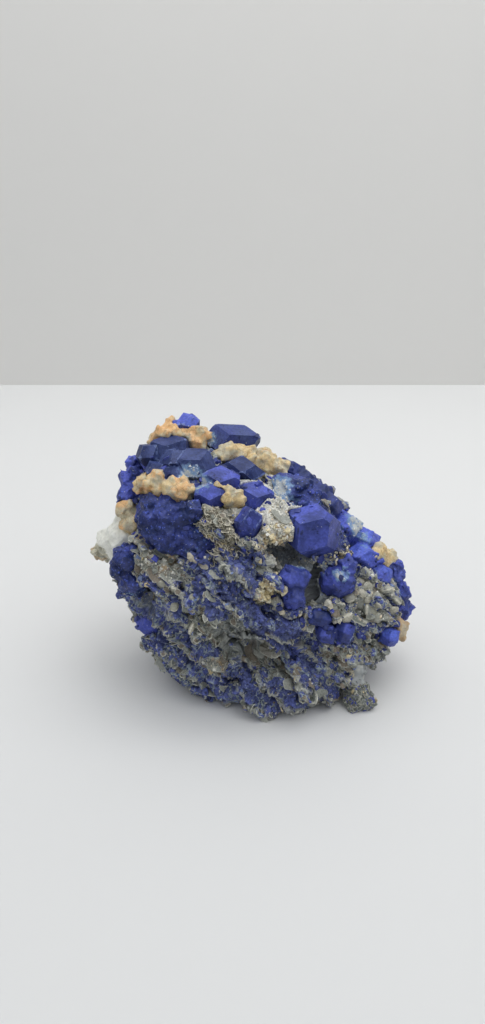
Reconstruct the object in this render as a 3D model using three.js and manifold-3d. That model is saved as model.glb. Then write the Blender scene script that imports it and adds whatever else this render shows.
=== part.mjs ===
// Lazurite specimen: blue lazurite crystals grown in a host rock of mica and calcite.
// Millimetres, +Z up. The origin is on the resting plane under the middle of the specimen,
// +Y points to the back of it and +X to the right of someone who faces the crystals.
import * as THREE from "three";
import { ImprovedNoise } from "three/addons/math/ImprovedNoise.js";
import { mergeVertices } from "three/addons/utils/BufferGeometryUtils.js";
import Module from "manifold-3d";

const wasm = await Module();
wasm.setup();
const { Manifold, Mesh: SolidMesh } = wasm;

// ---- Driving dimensions ----------------------------------------------------------------

const seatGap = 0.3; // between a crystal and the rock that holds it
const blankSide = 120; // the block that every faceted piece is cut from, larger than any piece

const rock = {
  heart: [0, -3, 28], // the rock's outline is single when seen from here
  detail: 8, // subdivisions of the starting icosahedron
  blend: 14, // how sharply the bulges meet, higher is sharper
  bulges: [
    { at: [-3, 0, 33], half: [30.5, 26.5, 28] },
    { at: [-16, 3, 46.5], half: [19.5, 17.5, 20] },
    { at: [24, -2, 21], half: [18.5, 19.5, 18] },
    { at: [-19, -4, 32], half: [17, 18, 19] },
    { at: [-12.5, -8, 15.5], half: [17, 15, 15.7] },
    { at: [7.5, -12.5, 8.5], half: [22, 14.5, 12.5] },
    { at: [0, 9, 14], half: [26, 16, 15] },
  ],
  // Layers of mica, seen end-on at the front, that dip down to the right. depth is how far a
  // ledge stands out of the rock and waviness how far the layers swerve, in layers.
  layers: { normal: [0.56, 0.1, 0.82], pitch: 7.5, depth: 1.5, waviness: 0.9 },
  lumps: [
    { span: 15, height: 1.7 },
    { span: 7, height: 1.1 },
  ],
};

// Hollows between the layers, cut as rounded lumps.
const hollows = [
  { at: [9.5, -20.5, 44.6], half: [8, 9, 3.6], facets: 18, lean: [0, 8], seed: 81 },
  { at: [15.6, -20.5, 37.6], half: [3, 7, 6], facets: 16, lean: [0, 8], seed: 82 },
  { at: [3.4, -24.5, 14.8], half: [9.5, 5, 3.2], facets: 16, lean: [0, 14], seed: 83 },
  { at: [-26.6, -20, 34], half: [2.6, 4.4, 3.8], facets: 11, seed: 85 },
  { at: [33.4, -16.4, 17.4], half: [4, 4, 3.2], facets: 11, seed: 86 },
];

// Books of mica and nodules that stand out of the rock.
const outgrowths = [
  { at: [-9.4, -16, 51.6], half: [6, 4.4, 5.6], facets: 22, lean: [10, 20], seed: 91 },
  { at: [-12.4, -20.4, 45.4], half: [6.4, 3, 1.5], facets: 11, lean: [10, 32], seed: 92 },
  { at: [-26, -15.6, 43], half: [5.4, 4, 3.6], facets: 18, lean: [8, 15], seed: 93 },
  { at: [9, -14.4, 50.6], half: [4, 3.6, 2.8], facets: 16, lean: [10, 20], seed: 95 },
  { at: [5.4, -23.8, 40.8], half: [2.8, 2.2, 2.6], facets: 11, seed: 96 },
  { at: [29.4, -15.6, 32], half: [2.7, 2.2, 2.7], facets: 11, seed: 97 },
  { at: [20.8, -19.6, 31], half: [3, 2.4, 2.2], facets: 11, seed: 98 },
  { at: [33.4, -13.8, 29], half: [2.6, 2.2, 2.8], facets: 11, seed: 99 },
  { at: [32.6, -13.6, 12.4], half: [5, 4.4, 3], facets: 16, lean: [0, -20], seed: 100 },
  { at: [19.6, -19.6, 4.6], half: [5, 4.4, 5.2], facets: 16, lean: [0, -15], seed: 102 },
  { at: [16, -23, 10], half: [7, 3, 1.8], facets: 11, lean: [6, 30], seed: 101 },
];

// ---- Materials -------------------------------------------------------------------------

const finish = (name, color, roughness) =>
  Object.assign(new THREE.MeshStandardMaterial({ color, roughness, metalness: 0 }), { name });
const blueLazurite = finish("lazurite", 0x2b35a0, 0.5);
const greyMica = finish("mica_rock", 0x8f8c80, 0.75);
const tanCalcite = finish("tan_calcite", 0xc9a877, 0.6);
const whiteCalcite = finish("white_calcite", 0xd8d8d2, 0.45);

// ---- Faceted solids --------------------------------------------------------------------

const noise = new ImprovedNoise();

// A closed three.js geometry as a solid.
function solidFrom(geometry) {
  const bare = new THREE.BufferGeometry();
  bare.setAttribute("position", geometry.getAttribute("position"));
  if (geometry.index) bare.setIndex(geometry.index);
  const merged = mergeVertices(bare, 1e-4);
  return new Manifold(
    new SolidMesh({
      numProp: 3,
      vertProperties: merged.getAttribute("position").array,
      triVerts: new Uint32Array(merged.index.array),
    }),
  );
}

// The space behind a set of flat faces, each { normal, distance } from the point at.
function cutByFaces(at, faces, grow) {
  const side = new THREE.BoxGeometry(blankSide, blankSide, blankSide).translate(...at);
  let solid = solidFrom(side);
  const centre = new THREE.Vector3(...at);
  for (const { normal, distance } of faces) {
    const reach = normal.dot(centre) + distance + grow;
    solid = solid.trimByPlane(normal.clone().negate().toArray(), -reach);
  }
  return solid;
}

const degrees = (angles) => angles.map((angle) => THREE.MathUtils.degToRad(angle));

// Which part of the crystal points up before it is spun and leant.
const standing = {
  corner: new THREE.Vector3(1, 1, 1),
  face: new THREE.Vector3(1, 1, 0),
};
const up = new THREE.Vector3(0, 0, 1);

const rhombicNormals = [-1, 1].flatMap((a) =>
  [-1, 1].flatMap((b) => [
    new THREE.Vector3(a, b, 0),
    new THREE.Vector3(a, 0, b),
    new THREE.Vector3(0, a, b),
  ]),
);
const cubeNormals = [-1, 1].flatMap((a) => [
  new THREE.Vector3(a, 0, 0),
  new THREE.Vector3(0, a, 0),
  new THREE.Vector3(0, 0, a),
]);

// A lazurite crystal: twelve rhombic faces at size from its middle, each a little nearer or
// farther where it grew uneven. Six cube faces cut the tips off a crystal that states corners,
// at that many times its size. It is stretched while it stands upright, spun, then leant.
function crystal(part, grow) {
  const { at, size, stretch = [1, 1, 1], stand = "corner", spin = 0, lean = [0, 0] } = part;
  const { seed = 1, uneven = 0, corners } = part;
  THREE.MathUtils.seededRandom(seed);
  const stood = new THREE.Quaternion().setFromUnitVectors(standing[stand].clone().normalize(), up);
  const spun = new THREE.Quaternion().setFromAxisAngle(up, ...degrees([spin]));
  const leant = new THREE.Quaternion().setFromEuler(new THREE.Euler(...degrees(lean), 0));
  const squeeze = new THREE.Vector3(...stretch);
  const face = (share) => (direction) => {
    const normal = direction.clone().normalize().applyQuaternion(stood).applyQuaternion(spun);
    normal.divide(squeeze);
    const shift = 1 + uneven * (THREE.MathUtils.seededRandom() - 0.5);
    const distance = (size * share * shift) / normal.length();
    return { normal: normal.normalize().applyQuaternion(leant), distance };
  };
  const faces = rhombicNormals.map(face(1));
  if (corners) faces.push(...cubeNormals.map(face(corners)));
  return cutByFaces(at, faces, grow);
}

// A rounded, irregular lump inside an ellipsoid, with flat faces spread evenly over it.
function lump({ at, half, facets, lean = [0, 0], seed, uneven = 0.22 }, grow) {
  THREE.MathUtils.seededRandom(seed);
  const goldenAngle = Math.PI * (3 - Math.sqrt(5));
  const leant = new THREE.Quaternion().setFromEuler(new THREE.Euler(...degrees(lean), 0));
  const faces = Array.from({ length: facets }, (_, i) => {
    const height = 1 - (2 * i + 1) / facets;
    const turn = i * goldenAngle + seed;
    const ring = Math.sqrt(1 - height * height);
    const normal = new THREE.Vector3(ring * Math.cos(turn), ring * Math.sin(turn), height);
    const reach = normal.clone().multiply(new THREE.Vector3(...half)).length();
    const distance = reach * (1 - uneven * THREE.MathUtils.seededRandom());
    return { normal: normal.applyQuaternion(leant), distance };
  });
  return cutByFaces(at, faces, grow);
}

// ---- Host rock -------------------------------------------------------------------------

// How far the bulges reach from the rock's heart in one direction.
function bulgeReach(direction) {
  const heart = new THREE.Vector3(...rock.heart);
  let sum = 0;
  for (const { at, half } of rock.bulges) {
    const scale = new THREE.Vector3(...half);
    const from = heart.clone().sub(new THREE.Vector3(...at)).divide(scale);
    const along = direction.clone().divide(scale);
    const a = along.lengthSq();
    const b = from.dot(along);
    const inside = b * b - a * (from.lengthSq() - 1);
    if (inside > 0) sum += Math.max(0, (Math.sqrt(inside) - b) / a) ** rock.blend;
  }
  return sum ** (1 / rock.blend);
}

const noiseAt = (point, span, offset = 0) =>
  noise.noise(point.x / span + offset, point.y / span, point.z / span);

// Ledges where the layers end: the surface creeps out along a layer and steps back at its edge.
function ledge(point) {
  const { normal, pitch, depth, waviness } = rock.layers;
  const along = point.dot(new THREE.Vector3(...normal)) / pitch + waviness * noiseAt(point, 16, 5.5);
  return depth * (1 - 2 * (along - Math.floor(along)));
}

function rockBody() {
  const shell = mergeVertices(
    new THREE.IcosahedronGeometry(1, rock.detail).deleteAttribute("normal").deleteAttribute("uv"),
    1e-5,
  );
  const position = shell.getAttribute("position");
  const heart = new THREE.Vector3(...rock.heart);
  for (let i = 0; i < position.count; i += 1) {
    const direction = new THREE.Vector3().fromBufferAttribute(position, i).normalize();
    const reach = bulgeReach(direction);
    const point = direction.clone().multiplyScalar(reach).add(heart);
    let rise = ledge(point);
    for (const { span, height } of rock.lumps) rise += height * 2 * noiseAt(point, span);
    point.addScaledVector(direction, rise);
    position.setXYZ(i, ...point.toArray());
  }
  return solidFrom(shell);
}

// ---- Pieces on the rock ----------------------------------------------------------------

// Each piece is one body: its parts overlap and are joined. A part with a size is a faceted
// crystal and a part with a half is a rounded lump.
const pieces = [
  {
    name: "lazurite_long_crystal",
    finish: blueLazurite,
    parts: [
      {
        at: [-5.6, 9, 65.8], size: 4.1, stretch: [1.7, 1, 0.95],
        spin: 18, lean: [48, 0], seed: 3, uneven: 0.1, corners: 1.3,
      },
    ],
  },
  {
    name: "lazurite_summit_crystals",
    finish: blueLazurite,
    parts: [
      { at: [-17.2, 6.5, 71.9], size: 2.4, stretch: [1.1, 1, 0.75], spin: 15, lean: [25, 5] },
      { at: [-20, 6, 71.4], size: 1.8, stretch: [1.1, 1, 0.8], spin: 50, lean: [10, -10] },
    ],
  },
  {
    name: "lazurite_crown_group",
    finish: blueLazurite,
    parts: [
      {
        at: [-22, 0.4, 66.2], size: 4, stretch: [1.25, 1, 0.85], stand: "face",
        spin: 40, lean: [14, -6], seed: 5, uneven: 0.12, corners: 1.3,
      },
      { at: [-27.4, -1, 65.4], size: 2.9, stand: "corner", spin: 20, lean: [20, -20] },
      {
        at: [-15.4, -4.8, 64.2], size: 3.9, stretch: [1.2, 1.05, 0.95], stand: "face",
        spin: -100, lean: [16, 0], seed: 7, uneven: 0.1, corners: 1.28,
      },
      {
        at: [-20.4, -4.2, 64.4], size: 3.4, stand: "corner",
        spin: 35, lean: [14, -4], seed: 9, uneven: 0.12,
      },
      { at: [-25.2, -6, 62.9], size: 2.4, stand: "corner", spin: 10, lean: [20, -15] },
      {
        at: [-20.2, -7.8, 62.6], size: 2.7, stretch: [1.15, 1, 0.9], stand: "corner",
        spin: 60, lean: [25, 5], seed: 12, uneven: 0.12,
      },
    ],
  },
  {
    name: "lazurite_cleft_crystal",
    finish: blueLazurite,
    parts: [
      {
        at: [-3.2, -2.4, 61.6], size: 3.2, stretch: [1.5, 1, 0.85], stand: "face",
        spin: -45, lean: [22, 8], seed: 21, uneven: 0.12,
      },
    ],
  },
  {
    name: "lazurite_ridge_crystals",
    finish: blueLazurite,
    parts: [
      {
        at: [-8.6, -7.8, 61], size: 3.8, stretch: [1.3, 1, 0.85], stand: "face",
        spin: 45, lean: [32, 10], seed: 25, uneven: 0.1, corners: 1.22,
      },
      {
        at: [0.4, -9.6, 57.4], size: 3.5, stretch: [1.3, 1, 0.85], stand: "face",
        spin: 48, lean: [28, 16], seed: 26, uneven: 0.1, corners: 1.22,
      },
    ],
  },
  {
    name: "lazurite_six_sided_crystal",
    finish: blueLazurite,
    parts: [
      {
        at: [-11.2, -12.4, 58.7], size: 3.1, stretch: [1.25, 1, 1], stand: "face",
        spin: 45, lean: [46, 6], seed: 30, uneven: 0.06, corners: 1.2,
      },
    ],
  },
  {
    name: "lazurite_front_crystal",
    finish: blueLazurite,
    parts: [
      {
        at: [-1.6, -17.4, 52.6], size: 3, stretch: [1, 0.95, 1.75],
        spin: 10, lean: [20, 8], seed: 34, uneven: 0.12, corners: 1.3,
      },
    ],
  },
  {
    name: "lazurite_large_crystal",
    finish: blueLazurite,
    parts: [
      {
        at: [15.2, -13.4, 49.4], size: 5.7, stretch: [1.1, 1, 1.05], stand: "face",
        spin: 18, lean: [16, -12], seed: 38, uneven: 0.1, corners: 1.28,
      },
    ],
  },
  {
    name: "lazurite_rounded_crystal",
    finish: blueLazurite,
    parts: [
      { at: [22.2, -15.8, 35.6], half: [4.7, 3.8, 4.2], facets: 18, seed: 3, uneven: 0.1 },
      { at: [24.9, -14.6, 39.6], half: [2.3, 2.4, 2.4], facets: 12, seed: 4, uneven: 0.1 },
    ],
  },
  {
    name: "lazurite_slope_crystals",
    finish: blueLazurite,
    parts: [
      { at: [9.8, 4, 58.8], size: 3.2, stretch: [1.1, 1, 0.9], spin: 30, lean: [10, 20] },
      {
        at: [14, 2.6, 56], size: 3.6, stretch: [1.1, 1, 0.9],
        spin: 5, lean: [15, 25], seed: 51, uneven: 0.12,
      },
      { at: [17.6, 0.4, 53.4], size: 3.4, stretch: [1.1, 1, 1], spin: 45, lean: [15, 30] },
      {
        at: [20.2, -2, 50.6], size: 3.2, stretch: [1, 1, 1.15],
        spin: 20, lean: [15, 35], seed: 53, uneven: 0.12,
      },
    ],
  },
  {
    name: "tan_calcite_shoulder",
    finish: tanCalcite,
    parts: [
      { at: [33.8, -5, 38.4], half: [2.8, 2.4, 2], facets: 11, seed: 40 },
      { at: [36.8, -4.4, 36.6], half: [2.6, 2.4, 2], facets: 11, seed: 41 },
    ],
  },
  {
    name: "lazurite_shoulder_crystals",
    finish: blueLazurite,
    parts: [
      {
        at: [25, -2, 45], size: 3.8, stretch: [1.1, 1, 1],
        spin: 15, lean: [15, 20], seed: 55, uneven: 0.12,
      },
      { at: [30.8, -1.2, 40.4], size: 3.6, stretch: [1.2, 1, 0.9], spin: 40, lean: [10, 30] },
      {
        at: [30, -6, 37.2], size: 3.9, stretch: [1.15, 0.9, 1],
        spin: 0, lean: [25, 20], seed: 57, uneven: 0.25,
      },
      { at: [34, -7.2, 32.6], size: 3.3, spin: 30, lean: [25, 25], seed: 58, uneven: 0.25 },
    ],
  },
  {
    name: "lazurite_cave_crystals",
    finish: blueLazurite,
    parts: [
      { at: [10.2, -21, 39.4], size: 3.3, stretch: [1.15, 0.9, 1], spin: 20, lean: [30, 10] },
      { at: [10.2, -22.8, 35.4], size: 2.8, spin: 50, lean: [30, 0] },
    ],
  },
  {
    name: "lazurite_upper_blade",
    finish: blueLazurite,
    parts: [
      {
        at: [17.2, -22.4, 28.8], size: 2.1, stretch: [1.35, 1, 0.8],
        spin: -5, lean: [30, 5], stand: "face",
      },
    ],
  },
  {
    name: "lazurite_twin_blades",
    finish: blueLazurite,
    parts: [
      {
        at: [19.2, -21.8, 23.8], size: 2.3, stretch: [1, 1, 1.25],
        spin: 10, lean: [20, -18], seed: 64, uneven: 0.12,
      },
      {
        at: [23.9, -20.8, 23.6], size: 2.5, stretch: [1, 1, 1.2],
        spin: 25, lean: [20, 10], seed: 65, uneven: 0.12,
      },
    ],
  },
  {
    name: "lazurite_corner_crystal",
    finish: blueLazurite,
    parts: [{ at: [37.6, -14, 17.4], size: 2.4, spin: 30, lean: [25, 10] }],
  },
  {
    name: "lazurite_left_clump",
    finish: blueLazurite,
    parts: [
      { at: [-32.6, -13.6, 41.8], half: [3.3, 3.2, 3.3], facets: 11, seed: 15 },
      { at: [-34, -12.8, 37.6], half: [3.5, 3.4, 3.3], facets: 11, seed: 16 },
      { at: [-31.4, -15.4, 35.2], half: [3.4, 3, 3.1], facets: 11, seed: 17 },
    ],
  },
  {
    name: "lazurite_lower_left_crystals",
    finish: blueLazurite,
    parts: [
      { at: [-28, -14, 21.6], size: 2.7, stretch: [1.2, 1, 0.9], spin: 20, lean: [30, -20] },
    ],
  },
  {
    name: "white_calcite_foot",
    finish: whiteCalcite,
    parts: [
      { at: [27.6, -16.4, 8.4], half: [3.4, 3.6, 4.6], facets: 11, seed: 20 },
      { at: [28.2, -19.6, 4.6], half: [3.2, 3.2, 3.4], facets: 11, seed: 21 },
      { at: [29.4, -21.6, 1.8], half: [4.6, 3.8, 3.4], facets: 11, seed: 22 },
    ],
  },
  {
    name: "tan_calcite_summit",
    finish: tanCalcite,
    parts: [
      { at: [-21.8, 4.4, 69.2], half: [4, 3.4, 2.8], facets: 11, seed: 23 },
      { at: [-15.4, 5.2, 68.6], half: [3.2, 3.4, 3.6], facets: 11, seed: 25 },
      { at: [-25.8, 4.2, 68], half: [2.2, 2.4, 1.8], facets: 11, seed: 26 },
    ],
  },
  {
    name: "tan_calcite_ridge",
    finish: tanCalcite,
    parts: [
      { at: [-6.8, 2.6, 64.2], half: [3.4, 3, 3], facets: 11, seed: 27 },
      { at: [-2.6, 3, 63.2], half: [3.6, 2.8, 2.2], facets: 11, seed: 28 },
      { at: [3, 4, 61.6], half: [4.4, 3, 2.5], facets: 11, seed: 29 },
      { at: [6.8, 2.4, 60], half: [2.4, 2.4, 3.2], facets: 11, seed: 30 },
    ],
  },
  {
    name: "tan_calcite_front",
    finish: tanCalcite,
    parts: [
      { at: [-9.6, -11.6, 60.2], half: [3, 2.2, 2], facets: 11, seed: 31 },
      { at: [-5.4, -12.6, 58.2], half: [3.2, 2.4, 3], facets: 11, seed: 32 },
    ],
  },
  {
    name: "tan_calcite_cluster_left",
    finish: tanCalcite,
    parts: [
      { at: [-27.4, -6.8, 59.6], half: [2.6, 2.4, 3.6], facets: 11, seed: 34 },
      { at: [-24, -9.4, 60.8], half: [3.4, 2.8, 3.4], facets: 11, seed: 35 },
      { at: [-19.4, -11.6, 60.2], half: [3.8, 3, 3.4], facets: 14, seed: 37 },
    ],
  },
  {
    name: "tan_calcite_left_patch",
    finish: tanCalcite,
    parts: [
      { at: [-33.4, -5.4, 51.6], half: [2.6, 2.4, 2.6], facets: 11, seed: 38 },
      { at: [-31.6, -8, 48.6], half: [2.6, 2.4, 3], facets: 11, seed: 39 },
    ],
  },
  {
    name: "tan_calcite_corner",
    finish: tanCalcite,
    parts: [{ at: [41.4, -8.2, 16.4], half: [2.4, 2.4, 3.4], facets: 11, seed: 42 }],
  },
  {
    name: "lazurite_back_crystal",
    finish: blueLazurite,
    parts: [
      {
        at: [1.6, 22, 47.4], size: 4.6, stretch: [1.15, 1, 1], stand: "face",
        spin: 30, lean: [-34, 8], seed: 110, uneven: 0.12, corners: 1.3,
      },
    ],
  },
  {
    name: "lazurite_back_group",
    finish: blueLazurite,
    parts: [
      { at: [13.4, 19.6, 41], size: 3.5, spin: 20, lean: [-30, 20], seed: 111, uneven: 0.12 },
      { at: [17.4, 20, 36.4], size: 3.2, spin: 45, lean: [-40, 25] },
    ],
  },
  {
    name: "lazurite_back_pair",
    finish: blueLazurite,
    parts: [
      { at: [-24, 15.6, 51], size: 3.3, spin: 15, lean: [-30, -25] },
      { at: [-19.8, 18.6, 49], size: 2.7, spin: 40, lean: [-35, -10], seed: 115, uneven: 0.12 },
    ],
  },
  {
    name: "lazurite_back_low_pair",
    finish: blueLazurite,
    parts: [
      { at: [18.4, 20.2, 18.6], size: 3, spin: 0, lean: [-70, 20] },
      { at: [22.2, 18, 22], size: 2.5, spin: 30, lean: [-60, 30] },
    ],
  },
  {
    name: "lazurite_crest_pair",
    finish: blueLazurite,
    parts: [
      { at: [-12.4, 13.6, 61.6], size: 3.1, spin: 50, lean: [-30, -5], seed: 118, uneven: 0.12 },
      { at: [-8, 14.8, 59.4], size: 2.5, spin: 20, lean: [-35, 10] },
    ],
  },
  {
    name: "lazurite_right_crystals",
    finish: blueLazurite,
    parts: [
      { at: [36, 6, 26.4], size: 3.4, spin: 10, lean: [-20, 55] },
      { at: [36.4, 4.6, 20.6], size: 2.8, spin: 35, lean: [-10, 70] },
    ],
  },
  {
    name: "tan_calcite_back",
    finish: tanCalcite,
    parts: [
      { at: [-6.4, 23.4, 45.6], half: [3, 2.8, 2.8], facets: 11, seed: 122 },
      { at: [-7.2, 25.6, 41.4], half: [3, 2.6, 3], facets: 11, seed: 124 },
    ],
  },
  {
    name: "tan_calcite_back_low",
    finish: tanCalcite,
    parts: [
      { at: [-4.6, 26, 16.6], half: [4, 2.8, 2.6], facets: 11, seed: 125 },
      { at: [0.2, 26, 14.6], half: [3, 2.6, 2.3], facets: 11, seed: 126 },
    ],
  },
  {
    name: "white_calcite_back",
    finish: whiteCalcite,
    parts: [
      { at: [-24.4, 18.4, 22.4], half: [5, 4.2, 4.4], facets: 11, seed: 127 },
      { at: [-20.2, 20.6, 18.6], half: [3.6, 3.4, 3], facets: 11, seed: 128 },
    ],
  },
  {
    name: "lazurite_back_mass",
    finish: blueLazurite,
    parts: [
      {
        at: [-17.4, 23, 38.4], size: 5, stretch: [1.2, 0.9, 1],
        spin: 15, lean: [-40, -10], seed: 129, uneven: 0.3,
      },
      {
        at: [-13.6, 25, 33.4], size: 4.2, stretch: [1.1, 0.9, 1.1],
        spin: 40, lean: [-60, 0], seed: 130, uneven: 0.3,
      },
    ],
  },
  {
    name: "lazurite_rough_mass_left",
    finish: blueLazurite,
    parts: [
      {
        at: [-24.6, -12, 52.8], size: 4.7, stretch: [1, 0.9, 1.2],
        spin: 25, lean: [10, -15], seed: 41, uneven: 0.3,
      },
      {
        at: [-20, -13.8, 53], size: 4.7, stretch: [1.1, 0.85, 1.05],
        spin: 5, lean: [30, 5], seed: 42, uneven: 0.3,
      },
      {
        at: [-15.6, -14.4, 53.6], size: 3.8, stretch: [1, 0.85, 1.15],
        spin: 40, lean: [20, 15], seed: 43, uneven: 0.3,
      },
      { at: [-21.6, -15.4, 49.4], half: [7, 4.6, 4.6], facets: 14, lean: [0, 12], seed: 5 },
      { at: [-15, -17, 48], half: [6, 4, 3.6], facets: 14, lean: [0, 20], seed: 6 },
    ],
  },
  {
    name: "lazurite_rough_mass_right",
    finish: blueLazurite,
    parts: [
      {
        at: [10.2, -4, 55.6], size: 4.6, stretch: [1.05, 1, 1],
        spin: 25, lean: [25, 5], seed: 45, uneven: 0.3,
      },
      {
        at: [13.6, -6.2, 53.4], size: 4, stretch: [1, 1, 1.1],
        spin: 50, lean: [20, 25], seed: 46, uneven: 0.3,
      },
    ],
  },
  {
    name: "lazurite_left_column",
    finish: blueLazurite,
    parts: [
      { at: [-31, 0.4, 60.6], half: [2.6, 3, 2.6], facets: 11, seed: 11 },
      { at: [-32, -0.8, 57], half: [3.2, 3.4, 3.2], facets: 11, seed: 12 },
      { at: [-32.4, -2, 53], half: [3.6, 3, 2.8], facets: 11, seed: 13 },
    ],
  },
  {
    name: "lazurite_edge_beads_right",
    finish: blueLazurite,
    parts: [
      { at: [39.8, -1.4, 30.4], half: [3, 3, 3.2], facets: 11, seed: 7 },
      { at: [41.6, -3, 25], half: [3, 3, 3.2], facets: 11, seed: 8 },
      { at: [42.4, -3.6, 19.6], half: [3, 3, 3.2], facets: 11, seed: 9 },
    ],
  },
  {
    name: "white_calcite_corner",
    finish: whiteCalcite,
    parts: [
      { at: [-33.2, -3.6, 42.4], half: [5.8, 6.4, 5.4], facets: 11, lean: [0, 10], seed: 18 },
      { at: [-38.2, 1.4, 37.8], half: [5.6, 5, 4.4], facets: 11, lean: [0, 35], seed: 19 },
      { at: [-42.4, 3.4, 34.6], half: [3.2, 2.8, 2.2], facets: 10, lean: [0, 20], seed: 20 },
    ],
  },
];

const shaped = (part, grow) => (part.size ? crystal(part, grow) : lump(part, grow));

// One body of overlapping parts, with every face moved out by grow.
function joined(parts, grow = 0) {
  return parts.map((part) => shaped(part, grow)).reduce((all, one) => all.add(one));
}

const largest = (solid) => solid.decompose().sort((a, b) => b.volume() - a.volume())[0];

// ---- Assembly --------------------------------------------------------------------------

function meshFrom(solid, name, material) {
  const { vertProperties, triVerts } = solid.getMesh();
  const geometry = new THREE.BufferGeometry();
  geometry.setAttribute("position", new THREE.BufferAttribute(Float32Array.from(vertProperties), 3));
  geometry.setIndex(new THREE.BufferAttribute(Uint32Array.from(triVerts), 1));
  geometry.computeBoundingBox();
  const centre = geometry.boundingBox.getCenter(new THREE.Vector3());
  geometry.translate(-centre.x, -centre.y, -centre.z);
  geometry.computeVertexNormals();
  const mesh = new THREE.Mesh(geometry, material);
  mesh.name = name;
  mesh.position.copy(centre);
  return mesh;
}

const specimen = new THREE.Group();
const floorCut = (solid) => solid.trimByPlane([0, 0, 1], 0);

let taken; // what the pieces placed so far fill, with the seat gap around it
for (const { name, finish: material, parts } of pieces) {
  let solid = floorCut(joined(parts));
  if (taken) solid = largest(solid.subtract(taken));
  specimen.add(meshFrom(solid, name, material));
  const seat = joined(parts, seatGap);
  taken = taken ? taken.add(seat) : seat;
}
const carved = joined(outgrowths).add(rockBody()).subtract(joined(hollows));
const matrix = largest(floorCut(carved).subtract(taken));
specimen.add(meshFrom(matrix, "matrix", greyMica));

// The origin is moved along the floor to the middle of the finished specimen.
const middle = new THREE.Box3().setFromObject(specimen).getCenter(new THREE.Vector3()).setZ(0);
for (const mesh of specimen.children) mesh.position.sub(middle);

export default specimen;
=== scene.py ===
import bpy
import bmesh
import math
import numpy as np
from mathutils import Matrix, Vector
from mathutils.bvhtree import BVHTree


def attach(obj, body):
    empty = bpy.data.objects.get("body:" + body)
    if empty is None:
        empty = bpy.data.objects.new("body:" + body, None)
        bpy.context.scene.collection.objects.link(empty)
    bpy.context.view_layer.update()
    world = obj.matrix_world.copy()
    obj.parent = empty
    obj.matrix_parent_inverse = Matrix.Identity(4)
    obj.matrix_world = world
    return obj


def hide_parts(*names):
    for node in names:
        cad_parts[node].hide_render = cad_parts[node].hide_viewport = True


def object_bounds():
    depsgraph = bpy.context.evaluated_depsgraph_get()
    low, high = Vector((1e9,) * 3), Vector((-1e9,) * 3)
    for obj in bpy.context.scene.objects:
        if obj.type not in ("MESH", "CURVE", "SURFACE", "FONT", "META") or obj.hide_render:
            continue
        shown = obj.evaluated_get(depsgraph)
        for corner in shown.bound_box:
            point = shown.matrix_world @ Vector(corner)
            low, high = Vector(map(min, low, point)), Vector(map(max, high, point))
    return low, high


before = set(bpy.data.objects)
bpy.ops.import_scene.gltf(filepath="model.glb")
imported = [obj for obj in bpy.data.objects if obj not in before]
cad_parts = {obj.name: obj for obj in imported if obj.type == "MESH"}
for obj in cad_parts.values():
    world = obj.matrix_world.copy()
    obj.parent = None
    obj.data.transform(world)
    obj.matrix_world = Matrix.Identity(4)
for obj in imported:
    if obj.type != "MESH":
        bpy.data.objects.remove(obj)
cadLow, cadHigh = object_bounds()
mm = 0.001
foot = Vector(((cadLow.x + cadHigh.x) / 2, (cadLow.y + cadHigh.y) / 2, cadLow.z))


def inSpecimen(across, deep, up):  # shares of the whole specimen's box, 0 to 1 each
    size = cadHigh - cadLow
    return cadLow + Vector((across * size.x, deep * size.y, up * size.z))


cameraStand = {"right": -2.8, "back": 192.0, "up": 137.7, "tiltDown": 25.0, "lens": 27.07}


def setCamera(stand):
    lens = bpy.data.cameras.new("camera")
    lens.lens = stand["lens"]
    lens.sensor_width = 36.0
    lens.clip_start = 0.01
    camera = bpy.data.objects.new("camera", lens)
    camera.location = foot + Vector((stand["right"], -stand["back"], stand["up"])) * mm
    camera.rotation_euler = (math.radians(90 - stand["tiltDown"]), 0, 0)
    bpy.context.scene.collection.objects.link(camera)
    bpy.context.scene.camera = camera


def placed(name, mesh):
    made = bpy.data.objects.new(name, mesh)
    bpy.context.scene.collection.objects.link(made)
    return made


setCamera(cameraStand)
print("camera set")


# small helpers for node trees, the same for materials and for Geometry Nodes
def nodeIn(tree, kind, inputs=None, **choices):
    node = tree.nodes.new(kind)
    for name, value in choices.items():
        setattr(node, name, value)
    for key, value in (inputs or {}).items():
        feed(tree, node.inputs[key], value)
    return node


def feed(tree, socket, value):
    if isinstance(value, bpy.types.NodeSocket):
        tree.links.new(value, socket)
    elif value is not None:
        socket.default_value = value


def calc(tree, operation, first, second=None, third=None, clamped=False):
    node = nodeIn(tree, "ShaderNodeMath", operation=operation, use_clamp=clamped)
    for socket, value in zip(node.inputs, (first, second, third)):
        feed(tree, socket, value)
    return node.outputs[0]


def plus(tree, first, second):
    return calc(tree, "ADD", first, second)


def minus(tree, first, second):
    return calc(tree, "SUBTRACT", first, second)


def times(tree, first, second):
    return calc(tree, "MULTIPLY", first, second)


def timesPlus(tree, first, second, third, clamped=False):  # first times second, plus third
    return calc(tree, "MULTIPLY_ADD", first, second, third, clamped)


def vector(tree, operation, first, second=None, scale=None):
    node = nodeIn(tree, "ShaderNodeVectorMath", operation=operation)
    feed(tree, node.inputs[0], first)
    feed(tree, node.inputs[1], second)
    if scale is not None:
        feed(tree, node.inputs["Scale"], scale)
    return node.outputs["Value" if operation in ("DOT_PRODUCT", "LENGTH") else "Vector"]


def ramp(tree, value, low, high, toLow=0.0, toHigh=1.0):
    node = nodeIn(
        tree,
        "ShaderNodeMapRange",
        {"Value": value, "From Min": low, "From Max": high, "To Min": toLow, "To Max": toHigh},
        interpolation_type="SMOOTHSTEP",
    )
    return node.outputs["Result"]


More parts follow.
